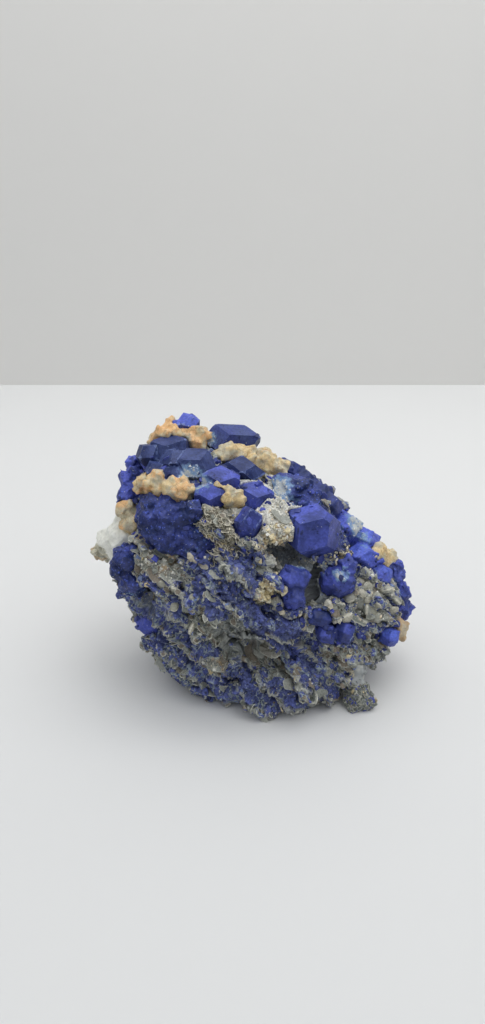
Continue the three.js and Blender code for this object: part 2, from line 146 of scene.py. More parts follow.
def grainNoise(tree, place, size, detail=2.0, roughness=0.5, asVector=False):
    node = nodeIn(
        tree,
        "ShaderNodeTexNoise",
        {"Vector": place, "Scale": 1 / size, "Detail": detail, "Roughness": roughness},
    )
    return node.outputs[1 if asVector else 0]


def cells(tree, place, size, feature="F1"):
    return nodeIn(tree, "ShaderNodeTexVoronoi", {"Vector": place, "Scale": 1 / size}, feature=feature)


def borders(tree, place, size):  # how far each point is from the nearest border between two cells
    return cells(tree, place, size, "DISTANCE_TO_EDGE").outputs["Distance"]


def splitUp(tree, triple):  # the three parts of a vector or a colour
    return nodeIn(tree, "ShaderNodeSeparateXYZ", {0: triple}).outputs


studio = {
    "skyColour": (0.93, 0.96, 1.0),
    "skyLow": 0.12,
    "skyTop": 0.98,
    "floor": (0.77, 0.77, 0.76),
    "wall": (0.80, 0.79, 0.765),
    "wallBehind": 0.30,
    "reach": 1.6,
    "dullness": 0.8,
    "shine": 0.2,
    "softbox": {"place": (0.12, 0.09, 0.58), "size": (1.1, 0.40), "aim": 0.02, "power": 1.65},
    "wash": {"place": (0.0, 0.10, 0.50), "size": (1.2, 0.15), "aim": 0.30, "power": 0.85},
}


def setLight(name, look):
    lamp = bpy.data.lights.new(name, "AREA")
    lamp.shape = "RECTANGLE"
    lamp.size, lamp.size_y = look["size"]
    lamp.energy = look["power"]
    holder = bpy.data.objects.new(name, lamp)
    holder.location = foot + Vector(look["place"])
    towards = foot + Vector((0, look["aim"], 0)) - holder.location
    holder.rotation_euler = towards.to_track_quat("-Z", "Y").to_euler()
    bpy.context.scene.collection.objects.link(holder)


def setStudio(look):
    world = bpy.data.worlds.new("studio")
    world.use_nodes = True
    sky = world.node_tree
    up = splitUp(sky, sky.nodes.new("ShaderNodeTexCoord").outputs["Generated"])
    glow = sky.nodes["Background"]
    glow.inputs["Color"].default_value = (*look["skyColour"], 1)
    feed(sky, glow.inputs["Strength"], ramp(sky, up[2], 0.0, 1.0, look["skyLow"], look["skyTop"]))
    bpy.context.scene.world = world
    setLight("softbox", look["softbox"])
    setLight("wash", look["wash"])
    bpy.context.scene.view_settings.view_transform = "Standard"
    reach, behind = look["reach"], look["wallBehind"]
    for name, corners in {
        "floor": [(-reach, -reach, 0), (reach, -reach, 0), (reach, behind, 0), (-reach, behind, 0)],
        "wall": [(-reach, behind, 0), (reach, behind, 0), (reach, behind, reach), (-reach, behind, reach)],
    }.items():
        sheet = bpy.data.meshes.new(name)
        sheet.from_pydata([foot + Vector(corner) for corner in corners], [], [(0, 1, 2, 3)])
        board = placed(name, sheet)
        paint = bpy.data.materials.new(name + "_paint")
        paint.use_nodes = True
        shader = paint.node_tree.nodes["Principled BSDF"]
        shader.inputs["Base Color"].default_value = (*look[name], 1)
        shader.inputs["Roughness"].default_value = look["dullness"]
        shader.inputs["Specular IOR Level"].default_value = look["shine"]
        board.data.materials.append(paint)


setStudio(studio)
print("studio set")


# the host rock is layered: its ledges and its blue patches follow the layers, in relief and in colour
layering = {
    "normal": (0.66, 0.10, 0.74), "waver": 5.2, "waverSize": 8.0, "squash": 1.4, "lens": 5.0, "pitch": 6.4,
    "rough": 1.3, "ragged": 0.8, "raggedLens": 0.45, "reachSize": 7.0, "reachEdge": (0.38, 0.56),
    "lipEdge": (0.76, 0.86),
}
patches = {"size": 7.0, "byShare": 0.42, "bareLip": -0.9, "edge": (0.690, 0.705), "border": (0.655, 0.672)}


def wandering(tree, place, size, reach, detail=2.0):
    wander = vector(tree, "SUBTRACT", grainNoise(tree, place, size, detail, asVector=True), (0.5, 0.5, 0.5))
    return vector(tree, "ADD", place, vector(tree, "SCALE", wander, scale=reach))


def rockLayers(tree, place):
    bent = wandering(tree, place, layering["waverSize"], layering["waver"])
    normal = Vector(layering["normal"]).normalized()
    across = vector(tree, "DOT_PRODUCT", bent, tuple(normal))
    stretch = times(tree, across, layering["squash"])
    flat = vector(tree, "ADD", bent, vector(tree, "SCALE", tuple(normal), scale=stretch))
    spread = cells(tree, flat, layering["lens"])
    edge = borders(tree, flat, layering["lens"])
    fall = calc(tree, "FRACT", calc(tree, "DIVIDE", across, layering["pitch"]))
    ledge = minus(tree, 1.0, fall)
    reach = ramp(tree, grainNoise(tree, place, layering["reachSize"], 2.0), *layering["reachEdge"])
    rough = minus(tree, grainNoise(tree, place, layering["rough"], 4.0, 0.65), 0.5)
    ragged = timesPlus(tree, rough, layering["ragged"], ledge)
    return {
        "flat": flat,
        "inside": timesPlus(tree, rough, layering["raggedLens"], edge),
        "level": splitUp(tree, spread.outputs["Color"])[1],
        "ledge": ledge,
        "reach": reach,
        "lip": times(tree, ramp(tree, ragged, *layering["lipEdge"]), reach),
    }


def bluePatches(tree, layers, share):  # where the rock is blue, and the pale border round each patch
    spread = grainNoise(tree, layers["flat"], patches["size"], 5.0, 0.62)
    level = timesPlus(tree, share, patches["byShare"], spread)
    bare = timesPlus(tree, layers["lip"], patches["bareLip"], 1.0)
    patch = ramp(tree, level, *patches["edge"])
    border = minus(tree, ramp(tree, level, *patches["border"]), patch)
    return times(tree, patch, bare), border


def newStone(name):
    stone = bpy.data.materials.new(name)
    stone.use_nodes = True
    tree = stone.node_tree
    where = tree.nodes.new("ShaderNodeTexCoord").outputs["Object"]
    return stone, tree, tree.nodes["Principled BSDF"], vector(tree, "SCALE", where, scale=1000.0)


def readValue(tree, name, output="Fac"):
    return nodeIn(tree, "ShaderNodeAttribute", attribute_name=name).outputs[output]


def blend(tree, share, first, second):
    node = tree.nodes.new("ShaderNodeMix")
    node.data_type = "RGBA"
    feed(tree, node.inputs["Factor"], share)
    for socket, value in ((node.inputs[6], first), (node.inputs[7], second)):
        feed(tree, socket, (*value, 1) if isinstance(value, tuple) else value)
    return node.outputs[2]


def dimmed(tree, colour, amount):
    node = tree.nodes.new("ShaderNodeMix")
    node.data_type = "RGBA"
    node.blend_type = "MULTIPLY"
    node.inputs["Factor"].default_value = 1.0
    feed(tree, node.inputs[6], (*colour, 1) if isinstance(colour, tuple) else colour)
    feed(tree, node.inputs[7], amount)
    return node.outputs[2]


def flecks(tree, place, size, reach, rarity):
    spots = cells(tree, wandering(tree, place, size * 0.5, size * 0.8), size)
    pick = splitUp(tree, spots.outputs["Color"])[2]
    near = ramp(tree, spots.outputs["Distance"], reach, reach * 0.6)
    return times(tree, near, calc(tree, "GREATER_THAN", pick, rarity))


def netted(tree, place, size, share):  # ragged outlines of small patches, in loose clusters
    bent = wandering(tree, place, size, size * 1.3, 4.0)
    gap = borders(tree, bent, size)
    ragged = timesPlus(tree, grainNoise(tree, place, size * 0.5, 3.0, 0.6), 0.45, gap)
    here = ramp(tree, grainNoise(tree, place, size * 3.0, 4.0, 0.6), 0.62 - share, 0.67 - share)
    return times(tree, ramp(tree, ragged, 0.34, 0.27), here)


def roughen(tree, shader, height, depth, strength=1.0):
    bump = nodeIn(tree, "ShaderNodeBump", {"Height": height, "Distance": depth * mm, "Strength": strength})
    tree.links.new(bump.outputs["Normal"], shader.inputs["Normal"])


def surfaced(tree, shader, body, roughness, shine):
    tree.links.new(body, shader.inputs["Base Color"])
    shader.inputs["Roughness"].default_value = roughness
    shader.inputs["Specular IOR Level"].default_value = shine


def milkyUnder(shader, share, colours, depth):  # light that sinks in and comes out again, depth in mm
    shader.inputs["Subsurface Weight"].default_value = share
    shader.inputs["Subsurface Radius"].default_value = colours
    shader.inputs["Subsurface Scale"].default_value = depth * mm


def mottled(tree, body, place, size, detail, low, high):
    return dimmed(tree, body, ramp(tree, grainNoise(tree, place, size, detail, 0.6), 0.25, 0.75, low, high))


lazuriteLook = {
    "navy": (0.017, 0.030, 0.115),
    "slate": (0.054, 0.077, 0.215),
    "deep": (0.041, 0.058, 0.235),
    "bright": (0.082, 0.108, 0.480),
    "cobalt": (0.096, 0.145, 0.600),
    "shadow": (0.014, 0.020, 0.080),
    "pale": (0.21, 0.34, 0.56),
    "edge": (0.22, 0.29, 0.56),
    "dustAndGlint": (0.55, 0.58, 0.57),
    "cloudSize": 5.0,
    # the next two scale the colour by how a face is turned: painted shade on the sides, painted light on top
    "sideShadePainted": 0.82,
    "topLightPainted": 1.16,
    "roughness": 0.42,
    "shine": 0.32,
}


def lazuriteStone(name, main, other, frost=0.0, specks=0.92, brightGrainAndGlint=0.0, look=lazuriteLook):
    stone, tree, shader, place = newStone(name)
    cloud = ramp(tree, grainNoise(tree, place, look["cloudSize"], 3.0), 0.36, 0.64)
    body = blend(tree, cloud, look[main], look[other])
    body = blend(tree, ramp(tree, grainNoise(tree, place, 1.5, 4.0, 0.65), 0.42, 0.28), body, look["shadow"])
    # bright cobalt spots: partly brighter grains, partly painted glints
    brightGrainAndGlintSpots = ramp(tree, grainNoise(tree, place, 0.8, 4.0, 0.65), 0.56, 0.66)
    body = blend(tree, times(tree, brightGrainAndGlintSpots, brightGrainAndGlint), body, look["cobalt"])
    mottle = ramp(tree, grainNoise(tree, place, 0.6, 4.0, 0.6), 0.25, 0.75, 0.74, 1.26)
    # painted light: faces turned up are painted lighter and faces turned to the side darker, as the light
    # from above falls on them
    facing = splitUp(tree, nodeIn(tree, "ShaderNodeNewGeometry").outputs["Normal"])
    paintedLightByFacing = ramp(tree, facing[2], -0.1, 0.8, look["sideShadePainted"], look["topLightPainted"])
    body = dimmed(tree, body, times(tree, mottle, paintedLightByFacing))
    worn = plus(tree, readValue(tree, "frost"), frost)
    breakUp = times(tree, grainNoise(tree, place, 1.3, 5.0, 0.65), 1.7)
    bloom = ramp(tree, plus(tree, worn, breakUp), 1.25, 1.75)
    body = blend(tree, bloom, body, look["pale"])
    white = ramp(tree, plus(tree, worn, breakUp), 1.68, 2.0)
    body = blend(tree, white, body, look["dustAndGlint"])
    # tiny pale flecks: partly dust, partly painted glints
    body = blend(tree, flecks(tree, place, 0.9, 0.17, specks), body, look["dustAndGlint"])
    chipped = grainNoise(tree, place, 0.9, 4.0, 0.65)
    ragged = timesPlus(tree, chipped, 0.9, readValue(tree, "edge"))
    body = blend(tree, ramp(tree, ragged, 1.32, 1.52, 0.0, 0.7), body, look["edge"])
    surfaced(tree, shader, body, look["roughness"], look["shine"])
    fine = plus(tree, grainNoise(tree, place, 0.32, 3.0, 0.6), times(tree, bloom, 0.4))
    roughen(tree, shader, fine, 0.09, 0.7)
    return stone


calciteLook = {
    "cream": (0.76, 0.585, 0.31),
    "sand": (0.62, 0.57, 0.42),
    "rust": (0.83, 0.52, 0.25),
    "crack": (0.36, 0.20, 0.08),
    "roughness": 0.45,
    "shine": 0.42,
    "depth": 1.0,
}


tanLook = {
    **calciteLook,
    "cream": (0.60, 0.49, 0.32),
    "sand": (0.54, 0.48, 0.36),
    "rust": (0.58, 0.43, 0.26),
}


def calciteStone(name, rusty, look=calciteLook):
    stone, tree, shader, place = newStone(name)
    body = blend(tree, ramp(tree, grainNoise(tree, place, 3.4, 3.0), 0.40, 0.62), look["cream"], look["sand"])
    stain = ramp(tree, grainNoise(tree, place, 4.4, 3.0, 0.55), 0.62 - rusty, 0.76 - rusty)
    body = blend(tree, stain, body, look["rust"])
    body = mottled(tree, body, place, 0.7, 4.0, 0.84, 1.14)
    bent = wandering(tree, place, 1.5, 2.2, 4.0)
    seam = ramp(tree, borders(tree, bent, 2.6), 0.05, 0.0)
    body = blend(tree, times(tree, seam, 0.5), body, look["crack"])
    pocket = ramp(tree, grainNoise(tree, place, 2.0, 4.0, 0.6), 0.40, 0.30)
    body = blend(tree, times(tree, pocket, 0.55), body, look["crack"])
    surfaced(tree, shader, body, look["roughness"], look["shine"])
    milkyUnder(shader, 0.25, (1.0, 0.75, 0.45), look["depth"])
    roughen(tree, shader, grainNoise(tree, place, 0.30, 3.0, 0.6), 0.10, 0.7)
    return stone


milkyLook = {
    "milk": (0.88, 0.88, 0.80),
    "smoke": (0.36, 0.38, 0.38),
    "tan": (0.52, 0.49, 0.36),
    "grey": (0.12, 0.13, 0.11),
    "rim": (0.42, 0.42, 0.35),
    "blue": (0.05, 0.07, 0.34),
    "roughness": 0.36,
    "shine": 0.5,
    "depth": 2.5,
}


def milkyStone(name, smoky, look=milkyLook):
    stone, tree, shader, place = newStone(name)
    haze = ramp(tree, grainNoise(tree, place, 5.0, 3.0), 0.70 - smoky, 0.95 - smoky)
    body = blend(tree, haze, look["milk"], look["smoke"])
    ragged = times(tree, minus(tree, grainNoise(tree, place, 2.0, 4.0, 0.6), 0.5), 1.6)
    tan = ramp(tree, plus(tree, readValue(tree, "tanStain"), ragged), 0.35, 0.60)
    body = blend(tree, tan, body, look["tan"])
    grey = ramp(tree, plus(tree, readValue(tree, "greyStain"), ragged), 0.30, 0.45)
    body = blend(tree, grey, body, look["grey"])
    stained = calc(tree, "MAXIMUM", tan, grey)
    border = borders(tree, wandering(tree, place, 1.2, 1.6), 1.6)
    rim = times(tree, ramp(tree, border, 0.12, 0.04), stained)
    body = blend(tree, rim, body, look["rim"])
    blue = ramp(tree, grainNoise(tree, place, 1.5, 4.0, 0.6), 0.56, 0.59)
    body = blend(tree, times(tree, blue, grey), body, look["blue"])
    body = dimmed(tree, body, ramp(tree, grainNoise(tree, place, 0.9, 4.0), 0.25, 0.75, 0.86, 1.12))
    surfaced(tree, shader, body, look["roughness"], look["shine"])
    milkyUnder(shader, 0.45, (1.0, 1.0, 0.95), look["depth"])
    roughen(tree, shader, grainNoise(tree, place, 0.5, 4.0, 0.6), 0.12, 0.7)
    return stone


rockLook = {
    "darkPlate": (0.092, 0.101, 0.095),
    "lightPlate": (0.35, 0.36, 0.315),
    "brownPlate": (0.225, 0.190, 0.145),
    "lip": (0.50, 0.51, 0.44),
    "rim": (0.50, 0.52, 0.46),
    "paleGrain": (0.86, 0.85, 0.77),
    "tan": (0.52, 0.40, 0.26),
    "navy": (0.027, 0.037, 0.096),
    "blue": (0.084, 0.106, 0.272),
    "brightBlue": (0.116, 0.148, 0.44),
    "paintedShadeGrey": (0.52, 0.57, 0.62),
    "net": (0.35, 0.41, 0.40),
    "netSize": 1.5,
    "netShare": 0.135,
    "plateSize": 2.3,
    "roughness": 0.50,
    "shine": 0.42,
}


def rockBlue(tree, place, look, calmer=0.9):
    cloud = ramp(tree, grainNoise(tree, place, 2.6, 4.0, 0.6), 0.42, 0.60)
    blue = blend(tree, cloud, look["blue"], look["brightBlue"])
    blue = blend(tree, ramp(tree, grainNoise(tree, place, 1.2, 4.0, 0.65), 0.50, 0.38), blue, look["navy"])
    net = times(tree, netted(tree, place, look["netSize"], look["netShare"]), calmer)
    blue = blend(tree, net, blue, look["net"])
    return blend(tree, flecks(tree, place, 0.7, 0.22, 0.60), blue, look["net"])


def rockGrey(tree, place, look):
    bent = wandering(tree, place, 1.6, 2.2, 4.0)
    plates = cells(tree, bent, look["plateSize"])
    tone, brown, paleness = splitUp(tree, plates.outputs["Color"])
    grey = blend(tree, tone, look["darkPlate"], look["lightPlate"])
    grey = blend(tree, ramp(tree, brown, 0.62, 0.75), grey, look["brownPlate"])
    border = borders(tree, bent, look["plateSize"])
    rim = times(tree, ramp(tree, border, 0.11, 0.04), paleness)
    return blend(tree, rim, grey, look["rim"]), rim


def hostRockStone(name, look=rockLook):
    stone, tree, shader, _ = newStone(name)
    place = readValue(tree, "restPlace", "Vector")
    layers = rockLayers(tree, place)
    blueHere, border = bluePatches(tree, layers, readValue(tree, "blueShare"))
    ground, rim = rockGrey(tree, place, look)
    ground = blend(tree, times(tree, layers["lip"], 0.75), ground, look["lip"])
    pale = times(tree, readValue(tree, "paleShare"), 0.9)
    ground = blend(tree, pale, ground, look["paleGrain"])
    cloud = grainNoise(tree, place, 2.4, 4.0, 0.6)
    tan = timesPlus(tree, readValue(tree, "tanShare"), 0.25, cloud)
    ground = blend(tree, ramp(tree, tan, 0.70, 0.80), ground, look["tan"])
    calmer = timesPlus(tree, readValue(tree, "blueShare"), -2.2, 2.5, clamped=True)
    body = blend(tree, blueHere, ground, rockBlue(tree, place, look, calmer))
    body = blend(tree, times(tree, border, 0.75), body, look["rim"])
    # painted shade: in the cave and the hollows the colour turns a flat cold grey, as they look in shade
    body = blend(tree, times(tree, readValue(tree, "gloomShare"), 0.85), body, look["paintedShadeGrey"])
    mottle = ramp(tree, grainNoise(tree, place, 0.45, 3.0, 0.6), 0.25, 0.75, 0.58, 1.40)
    # painted shade: the hollows, the cave and the pits are painted darker
    shade = timesPlus(tree, readValue(tree, "hollowShare"), -0.25, 1.0)
    shade = timesPlus(tree, readValue(tree, "gloomShare"), -0.12, shade)
    pitShadePainted = timesPlus(tree, readValue(tree, "pitHere"), -0.40, 1.0)
    shade = times(tree, shade, pitShadePainted)
    body = dimmed(tree, body, times(tree, mottle, shade))
    surfaced(tree, shader, body, look["roughness"], look["shine"])
    relief = plus(tree, grainNoise(tree, place, 0.35, 4.0, 0.65), times(tree, rim, 0.8))
    roughen(tree, shader, relief, 0.32, 0.9)
    return stone


def lumpStone(name, blueShare, look=rockLook):
    stone, tree, shader, place = newStone(name)
    grey, _ = rockGrey(tree, place, look)
    spread = grainNoise(tree, place, 2.4, 5.0, 0.65)
    isBlue = ramp(tree, plus(tree, spread, 0.42 * blueShare), 0.70, 0.72)
    body = blend(tree, isBlue, grey, rockBlue(tree, place, look))
    body = mottled(tree, body, place, 0.45, 3.0, 0.58, 1.40)
    surfaced(tree, shader, body, look["roughness"], look["shine"])
    roughen(tree, shader, grainNoise(tree, place, 0.35, 4.0, 0.65), 0.2, 0.9)
    return stone


flakeLook = {
    "silver": (0.34, 0.35, 0.31),
    "green": (0.18, 0.195, 0.17),
    "brown": (0.245, 0.21, 0.165),
    "gold": (0.70, 0.58, 0.33),
    "rim": (0.56, 0.56, 0.48),
    "roughness": 0.38,
    "shine": 0.55,
}
footLook = {
    **flakeLook,
    "silver": (0.15, 0.165, 0.15),
    "green": (0.09, 0.10, 0.09),
    "rim": (0.30, 0.32, 0.29),
}
bookLook = {
    **flakeLook,
    "silver": (0.31, 0.295, 0.24),
    "green": (0.12, 0.12, 0.10),
    "rim": (0.70, 0.66, 0.53),
}


def flakeStone(name, look=flakeLook):
    stone, tree, shader, place = newStone(name)
    tone = readValue(tree, "tone")
    body = blend(tree, ramp(tree, tone, 0.15, 0.60), look["green"], look["silver"])
    body = blend(tree, ramp(tree, tone, 0.66, 0.76), body, look["brown"])
    chipped = grainNoise(tree, place, 0.5, 3.0, 0.6)
    ragged = timesPlus(tree, chipped, 0.5, readValue(tree, "rim"))
    body = blend(tree, ramp(tree, ragged, 0.95, 1.12), body, look["rim"])
    body = blend(tree, ramp(tree, tone, 0.980, 0.982), body, look["gold"])
    body = mottled(tree, body, place, 0.5, 3.0, 0.75, 1.25)
    surfaced(tree, shader, body, look["roughness"], look["shine"])
    roughen(tree, shader, grainNoise(tree, place, 0.25, 2.0), 0.05, 0.6)
    return stone


def grainStone(name, colours, roughness=0.5, shine=0.4, rim=(0.62, 0.60, 0.50)):
    stone, tree, shader, place = newStone(name)
    palette = nodeIn(tree, "ShaderNodeValToRGB", {"Fac": readValue(tree, "tone")})
    palette.color_ramp.interpolation = "CONSTANT"
    steps = palette.color_ramp.elements
    while len(steps) < len(colours):
        steps.new(1.0)
    for count, colour in enumerate(colours):
        steps[count].position = count / len(colours)
        steps[count].color = (*colour, 1)
    body = blend(tree, ramp(tree, readValue(tree, "rim"), 0.55, 0.85), palette.outputs["Color"], rim)
    body = mottled(tree, body, place, 0.5, 3.0, 0.72, 1.28)
    surfaced(tree, shader, body, roughness, shine)
    roughen(tree, shader, grainNoise(tree, place, 0.3, 3.0), 0.08, 0.7)
    return stone


grainLooks = {
    "paleGrain": {
        "name": "pale_grain",
        "colours": (
            (0.76, 0.74, 0.66), (0.86, 0.84, 0.76), (0.60, 0.59, 0.53), (0.78, 0.67, 0.50),
            (0.80, 0.79, 0.72),
        ),
    },
    "sugarGrain": {
        "name": "sugar_grain",
        "colours": ((0.66, 0.68, 0.68), (0.42, 0.52, 0.70), (0.30, 0.40, 0.66), (0.72, 0.71, 0.66)),
        "roughness": 0.4, "shine": 0.5,
    },
    "mixedGrain": {
        "name": "mixed_grain",
        "colours": (
            (0.56, 0.55, 0.47), (0.055, 0.072, 0.30), (0.36, 0.37, 0.31), (0.20, 0.27, 0.50),
            (0.24, 0.20, 0.15), (0.50, 0.50, 0.43), (0.66, 0.66, 0.60),
        ),
    },
    "collarGrain": {
        "name": "collar_grain",
        "colours": (
            (0.040, 0.055, 0.24), (0.070, 0.090, 0.44), (0.20, 0.26, 0.46), (0.55, 0.53, 0.45),
            (0.030, 0.042, 0.16), (0.52, 0.47, 0.36),
        ),
    },
    "youngGrain": {
        "name": "young_grain",
        "colours": ((0.045, 0.062, 0.26), (0.075, 0.10, 0.44), (0.028, 0.040, 0.15)), "roughness": 0.42,
    },
    "golden": {
        "name": "golden_grain",
        "colours": ((0.74, 0.64, 0.40), (0.86, 0.79, 0.56), (0.60, 0.50, 0.28), (0.68, 0.64, 0.48)),
        "roughness": 0.35, "shine": 0.6,
    },
    "tipGrain": {
        "name": "tip_grain",
        "colours": ((0.60, 0.57, 0.44), (0.66, 0.60, 0.46), (0.44, 0.42, 0.32), (0.60, 0.48, 0.32)),
        "roughness": 0.42, "shine": 0.5,
    },
    "nodule": {
        "name": "beige_nodule",
        "colours": ((0.36, 0.355, 0.29), (0.44, 0.42, 0.34), (0.26, 0.265, 0.23), (0.40, 0.40, 0.34)),
        "roughness": 0.38, "shine": 0.5,
    },
}
stones = {
    "navy": lazuriteStone("navy_lazurite", "navy", "slate"),
    "slate": lazuriteStone("slate_lazurite", "slate", "deep"),
    "deep": lazuriteStone("deep_lazurite", "deep", "navy"),
    "bright": lazuriteStone("bright_lazurite", "bright", "deep"),
    "cobalt": lazuriteStone("cobalt_lazurite", "cobalt", "bright", 0.12, 0.80),
    "rough": lazuriteStone("rough_lazurite", "deep", "navy", 0.08, 0.70, 0.9),
    "roughBright": lazuriteStone("rough_bright_lazurite", "bright", "deep", 0.14, 0.70, 0.9),
    "cream": calciteStone("cream_calcite", 0.0),
    "rusty": calciteStone("rusty_calcite", 0.16),
    "tan": calciteStone("tan_calcite", 0.25, tanLook),
    "milky": milkyStone("milky_calcite", 0.0),
    "smoky": milkyStone("smoky_calcite", 0.42),
    "rock": hostRockStone("host_rock"),
    "greyLump": lumpStone("grey_lump", 0.30),
    "blueLump": lumpStone("blue_lump", 0.85),
    "flake": flakeStone("mica_flake"),
    "bookLeaf": flakeStone("book_leaf", bookLook),
    "footFlake": flakeStone("foot_flake", footLook),
    **{kind: grainStone(**look) for kind, look in grainLooks.items()},
}
print("stones mixed")

socketKinds = {
    "Geometry": "NodeSocketGeometry", "Kinds": "NodeSocketCollection", "Stone": "NodeSocketMaterial",
    "Share": "NodeSocketString", "Seed": "NodeSocketInt",
}


def newTree(name, inputs):
    tree = bpy.data.node_groups.new(name, "GeometryNodeTree")
    for item in ("Geometry", *inputs):
        tree.interface.new_socket(item, in_out="INPUT", socket_type=socketKinds.get(item, "NodeSocketFloat"))
    tree.interface.new_socket("Geometry", in_out="OUTPUT", socket_type="NodeSocketGeometry")
    return tree, tree.nodes.new("NodeGroupInput").outputs, tree.nodes.new("NodeGroupOutput").inputs


def dressWith(target, tree, values):
    layer = target.modifiers.new(tree.name, "NODES")
    layer.node_group = tree
    for item in tree.interface.items_tree:
        if item.in_out == "INPUT" and item.name in values:
            layer[item.identifier] = values[item.name]


def settled(target):  # the modifiers' result becomes the object's own plain mesh
    graph = bpy.context.evaluated_depsgraph_get()
    made = bpy.data.meshes.new_from_object(
        target.evaluated_get(graph), preserve_all_data_layers=True, depsgraph=graph
    )
    target.modifiers.clear()
    target.data = made
    return target


def placeInMm(tree):
    return vector(tree, "SCALE", tree.nodes.new("GeometryNodeInputPosition").outputs[0], scale=1000.0)


def remembered(tree, geometry, name, value, kind="FLOAT", domain="POINT"):
    node = nodeIn(tree, "GeometryNodeStoreNamedAttribute", data_type=kind, domain=domain)
    for key, given in (("Geometry", geometry), ("Name", name), ("Value", value)):
        feed(tree, node.inputs[key], given)
    return node.outputs[0]


def moved(tree, geometry, way, value):  # the way is "Position" or "Offset"
    return nodeIn(tree, "GeometryNodeSetPosition", {"Geometry": geometry, way: value}).outputs[0]


def keptAboveFloor(tree, geometry):
    across, deep, up = splitUp(tree, tree.nodes.new("GeometryNodeInputPosition").outputs[0])
    lifted = nodeIn(tree, "ShaderNodeCombineXYZ", {0: across, 1: deep, 2: calc(tree, "MAXIMUM", up, 0.0)})
    return moved(tree, geometry, "Position", lifted.outputs[0])


def pushedOut(tree, geometry, height):  # height in mm along each point's normal
    normal = tree.nodes.new("GeometryNodeInputNormal").outputs[0]
    return moved(tree, geometry, "Offset", vector(tree, "SCALE", normal, scale=times(tree, height, mm)))


def drawn(tree, kind, seed, low=0, high=1):  # a value drawn for each point or instance
    node = nodeIn(tree, "FunctionNodeRandomValue", {"Min": low, "Max": high, "Seed": seed}, data_type=kind)
    return node.outputs["Value"]


shapesPerKind = 4
sowingDraws = {"smallOnes": 2.2, "leanSeed": 7, "kindSeed": 3, "toneSeed": 11}


def scattered(tree, base, given, factor):  # points on a surface, their normals, and a size in mm for each
    points = nodeIn(
        tree,
        "GeometryNodeDistributePointsOnFaces",
        {
            "Mesh": base,
            "Distance Min": times(tree, given["Gap"], mm),
            "Density Max": times(tree, given["Per square mm"], 1e6),
            "Density Factor": factor,
            "Seed": given["Seed"],
        },
        distribute_method="POISSON",
    )
    normals = points.outputs["Normal"]
    share = calc(tree, "POWER", drawn(tree, "FLOAT", given["Seed"]), sowingDraws["smallOnes"])
    size = timesPlus(tree, share, minus(tree, given["Largest"], given["Smallest"]), given["Smallest"])
    depth = times(tree, times(tree, size, given["Sink"]), -mm)
    sunk = vector(tree, "SCALE", normals, scale=depth)
    return moved(tree, points.outputs["Points"], "Offset", sunk), normals, size


def turned(tree, normals, given):  # upright on the surface or along the rock's layers, with a random lean
    layers = tuple(Vector(layering["normal"]).normalized())
    facing = nodeIn(tree, "ShaderNodeMix", {"Factor": given["Along layers"]}, data_type="VECTOR")
    feed(tree, facing.inputs[4], normals)
    feed(tree, facing.inputs[5], layers)
    upright = nodeIn(tree, "FunctionNodeAlignRotationToVector", {"Vector": facing.outputs[1]}, axis="Z")
    alongStrike = nodeIn(
        tree,
        "FunctionNodeAlignRotationToVector",
        {"Rotation": upright.outputs[0], "Vector": vector(tree, "CROSS_PRODUCT", layers, normals)},
        axis="X",
        pivot_axis="Z",
    )
    lean = drawn(tree, "FLOAT_VECTOR", sowingDraws["leanSeed"], (-1, -1, -1), (1, 1, 1))
    spin = timesPlus(tree, given["Along strike"], -math.pi, math.pi)
    reach = nodeIn(tree, "ShaderNodeCombineXYZ", {0: given["Tilt"], 1: given["Tilt"], 2: spin}).outputs[0]
    turn = nodeIn(tree, "FunctionNodeEulerToRotation", {0: vector(tree, "MULTIPLY", lean, reach)})
    both = {0: alongStrike.outputs[0], 1: turn.outputs[0]}
    return nodeIn(tree, "FunctionNodeRotateRotation", both, rotation_space="LOCAL").outputs[0]


def sown(tree, base, given, factor):  # one of the kinds on each of the scattered points
    spots, normals, size = scattered(tree, base, given, factor)
    apart = {"Collection": given["Kinds"], "Separate Children": True, "Reset Children": True}
    put = nodeIn(
        tree,
        "GeometryNodeInstanceOnPoints",
        {
            "Points": spots,
            "Instance": nodeIn(tree, "GeometryNodeCollectionInfo", apart).outputs[0],
            "Pick Instance": True,
            "Instance Index": drawn(tree, "INT", sowingDraws["kindSeed"], 0, shapesPerKind - 1),
            "Rotation": turned(tree, normals, given),
            "Scale": times(tree, size, mm),
        },
    )
    tone = drawn(tree, "FLOAT", sowingDraws["toneSeed"])
    toned = remembered(tree, put.outputs[0], "tone", tone, domain="INSTANCE")
    return nodeIn(tree, "GeometryNodeRealizeInstances", {0: toned}).outputs[0]


sowing = (
    "Kinds", "Share", "Seed", "Per square mm", "Gap", "Smallest", "Largest", "Sink", "Tilt",
    "Along layers", "Along strike",
)


def sharedDensity(tree, name):
    node = nodeIn(tree, "GeometryNodeInputNamedAttribute", {"Name": name}, data_type="FLOAT")
    return node.outputs["Attribute"]


def buildKnobTree():
    tree, given, made = newTree("knobs", sowing)
    knobs = sown(tree, given["Geometry"], given, 1.0)
    joined = tree.nodes.new("GeometryNodeJoinGeometry")
    tree.links.new(given["Geometry"], joined.inputs[0])
    tree.links.new(knobs, joined.inputs[0])
    tree.links.new(joined.outputs[0], made[0])
    return tree


def buildSowTree():
    tree, given, made = newTree("sown_grains", (*sowing, "Stone"))
    grains = sown(tree, given["Geometry"], given, sharedDensity(tree, given["Share"]))
    above = {"Geometry": keptAboveFloor(tree, grains), "Material": given["Stone"]}
    painted = nodeIn(tree, "GeometryNodeSetMaterial", above)
    tree.links.new(painted.outputs[0], made[0])
    return tree


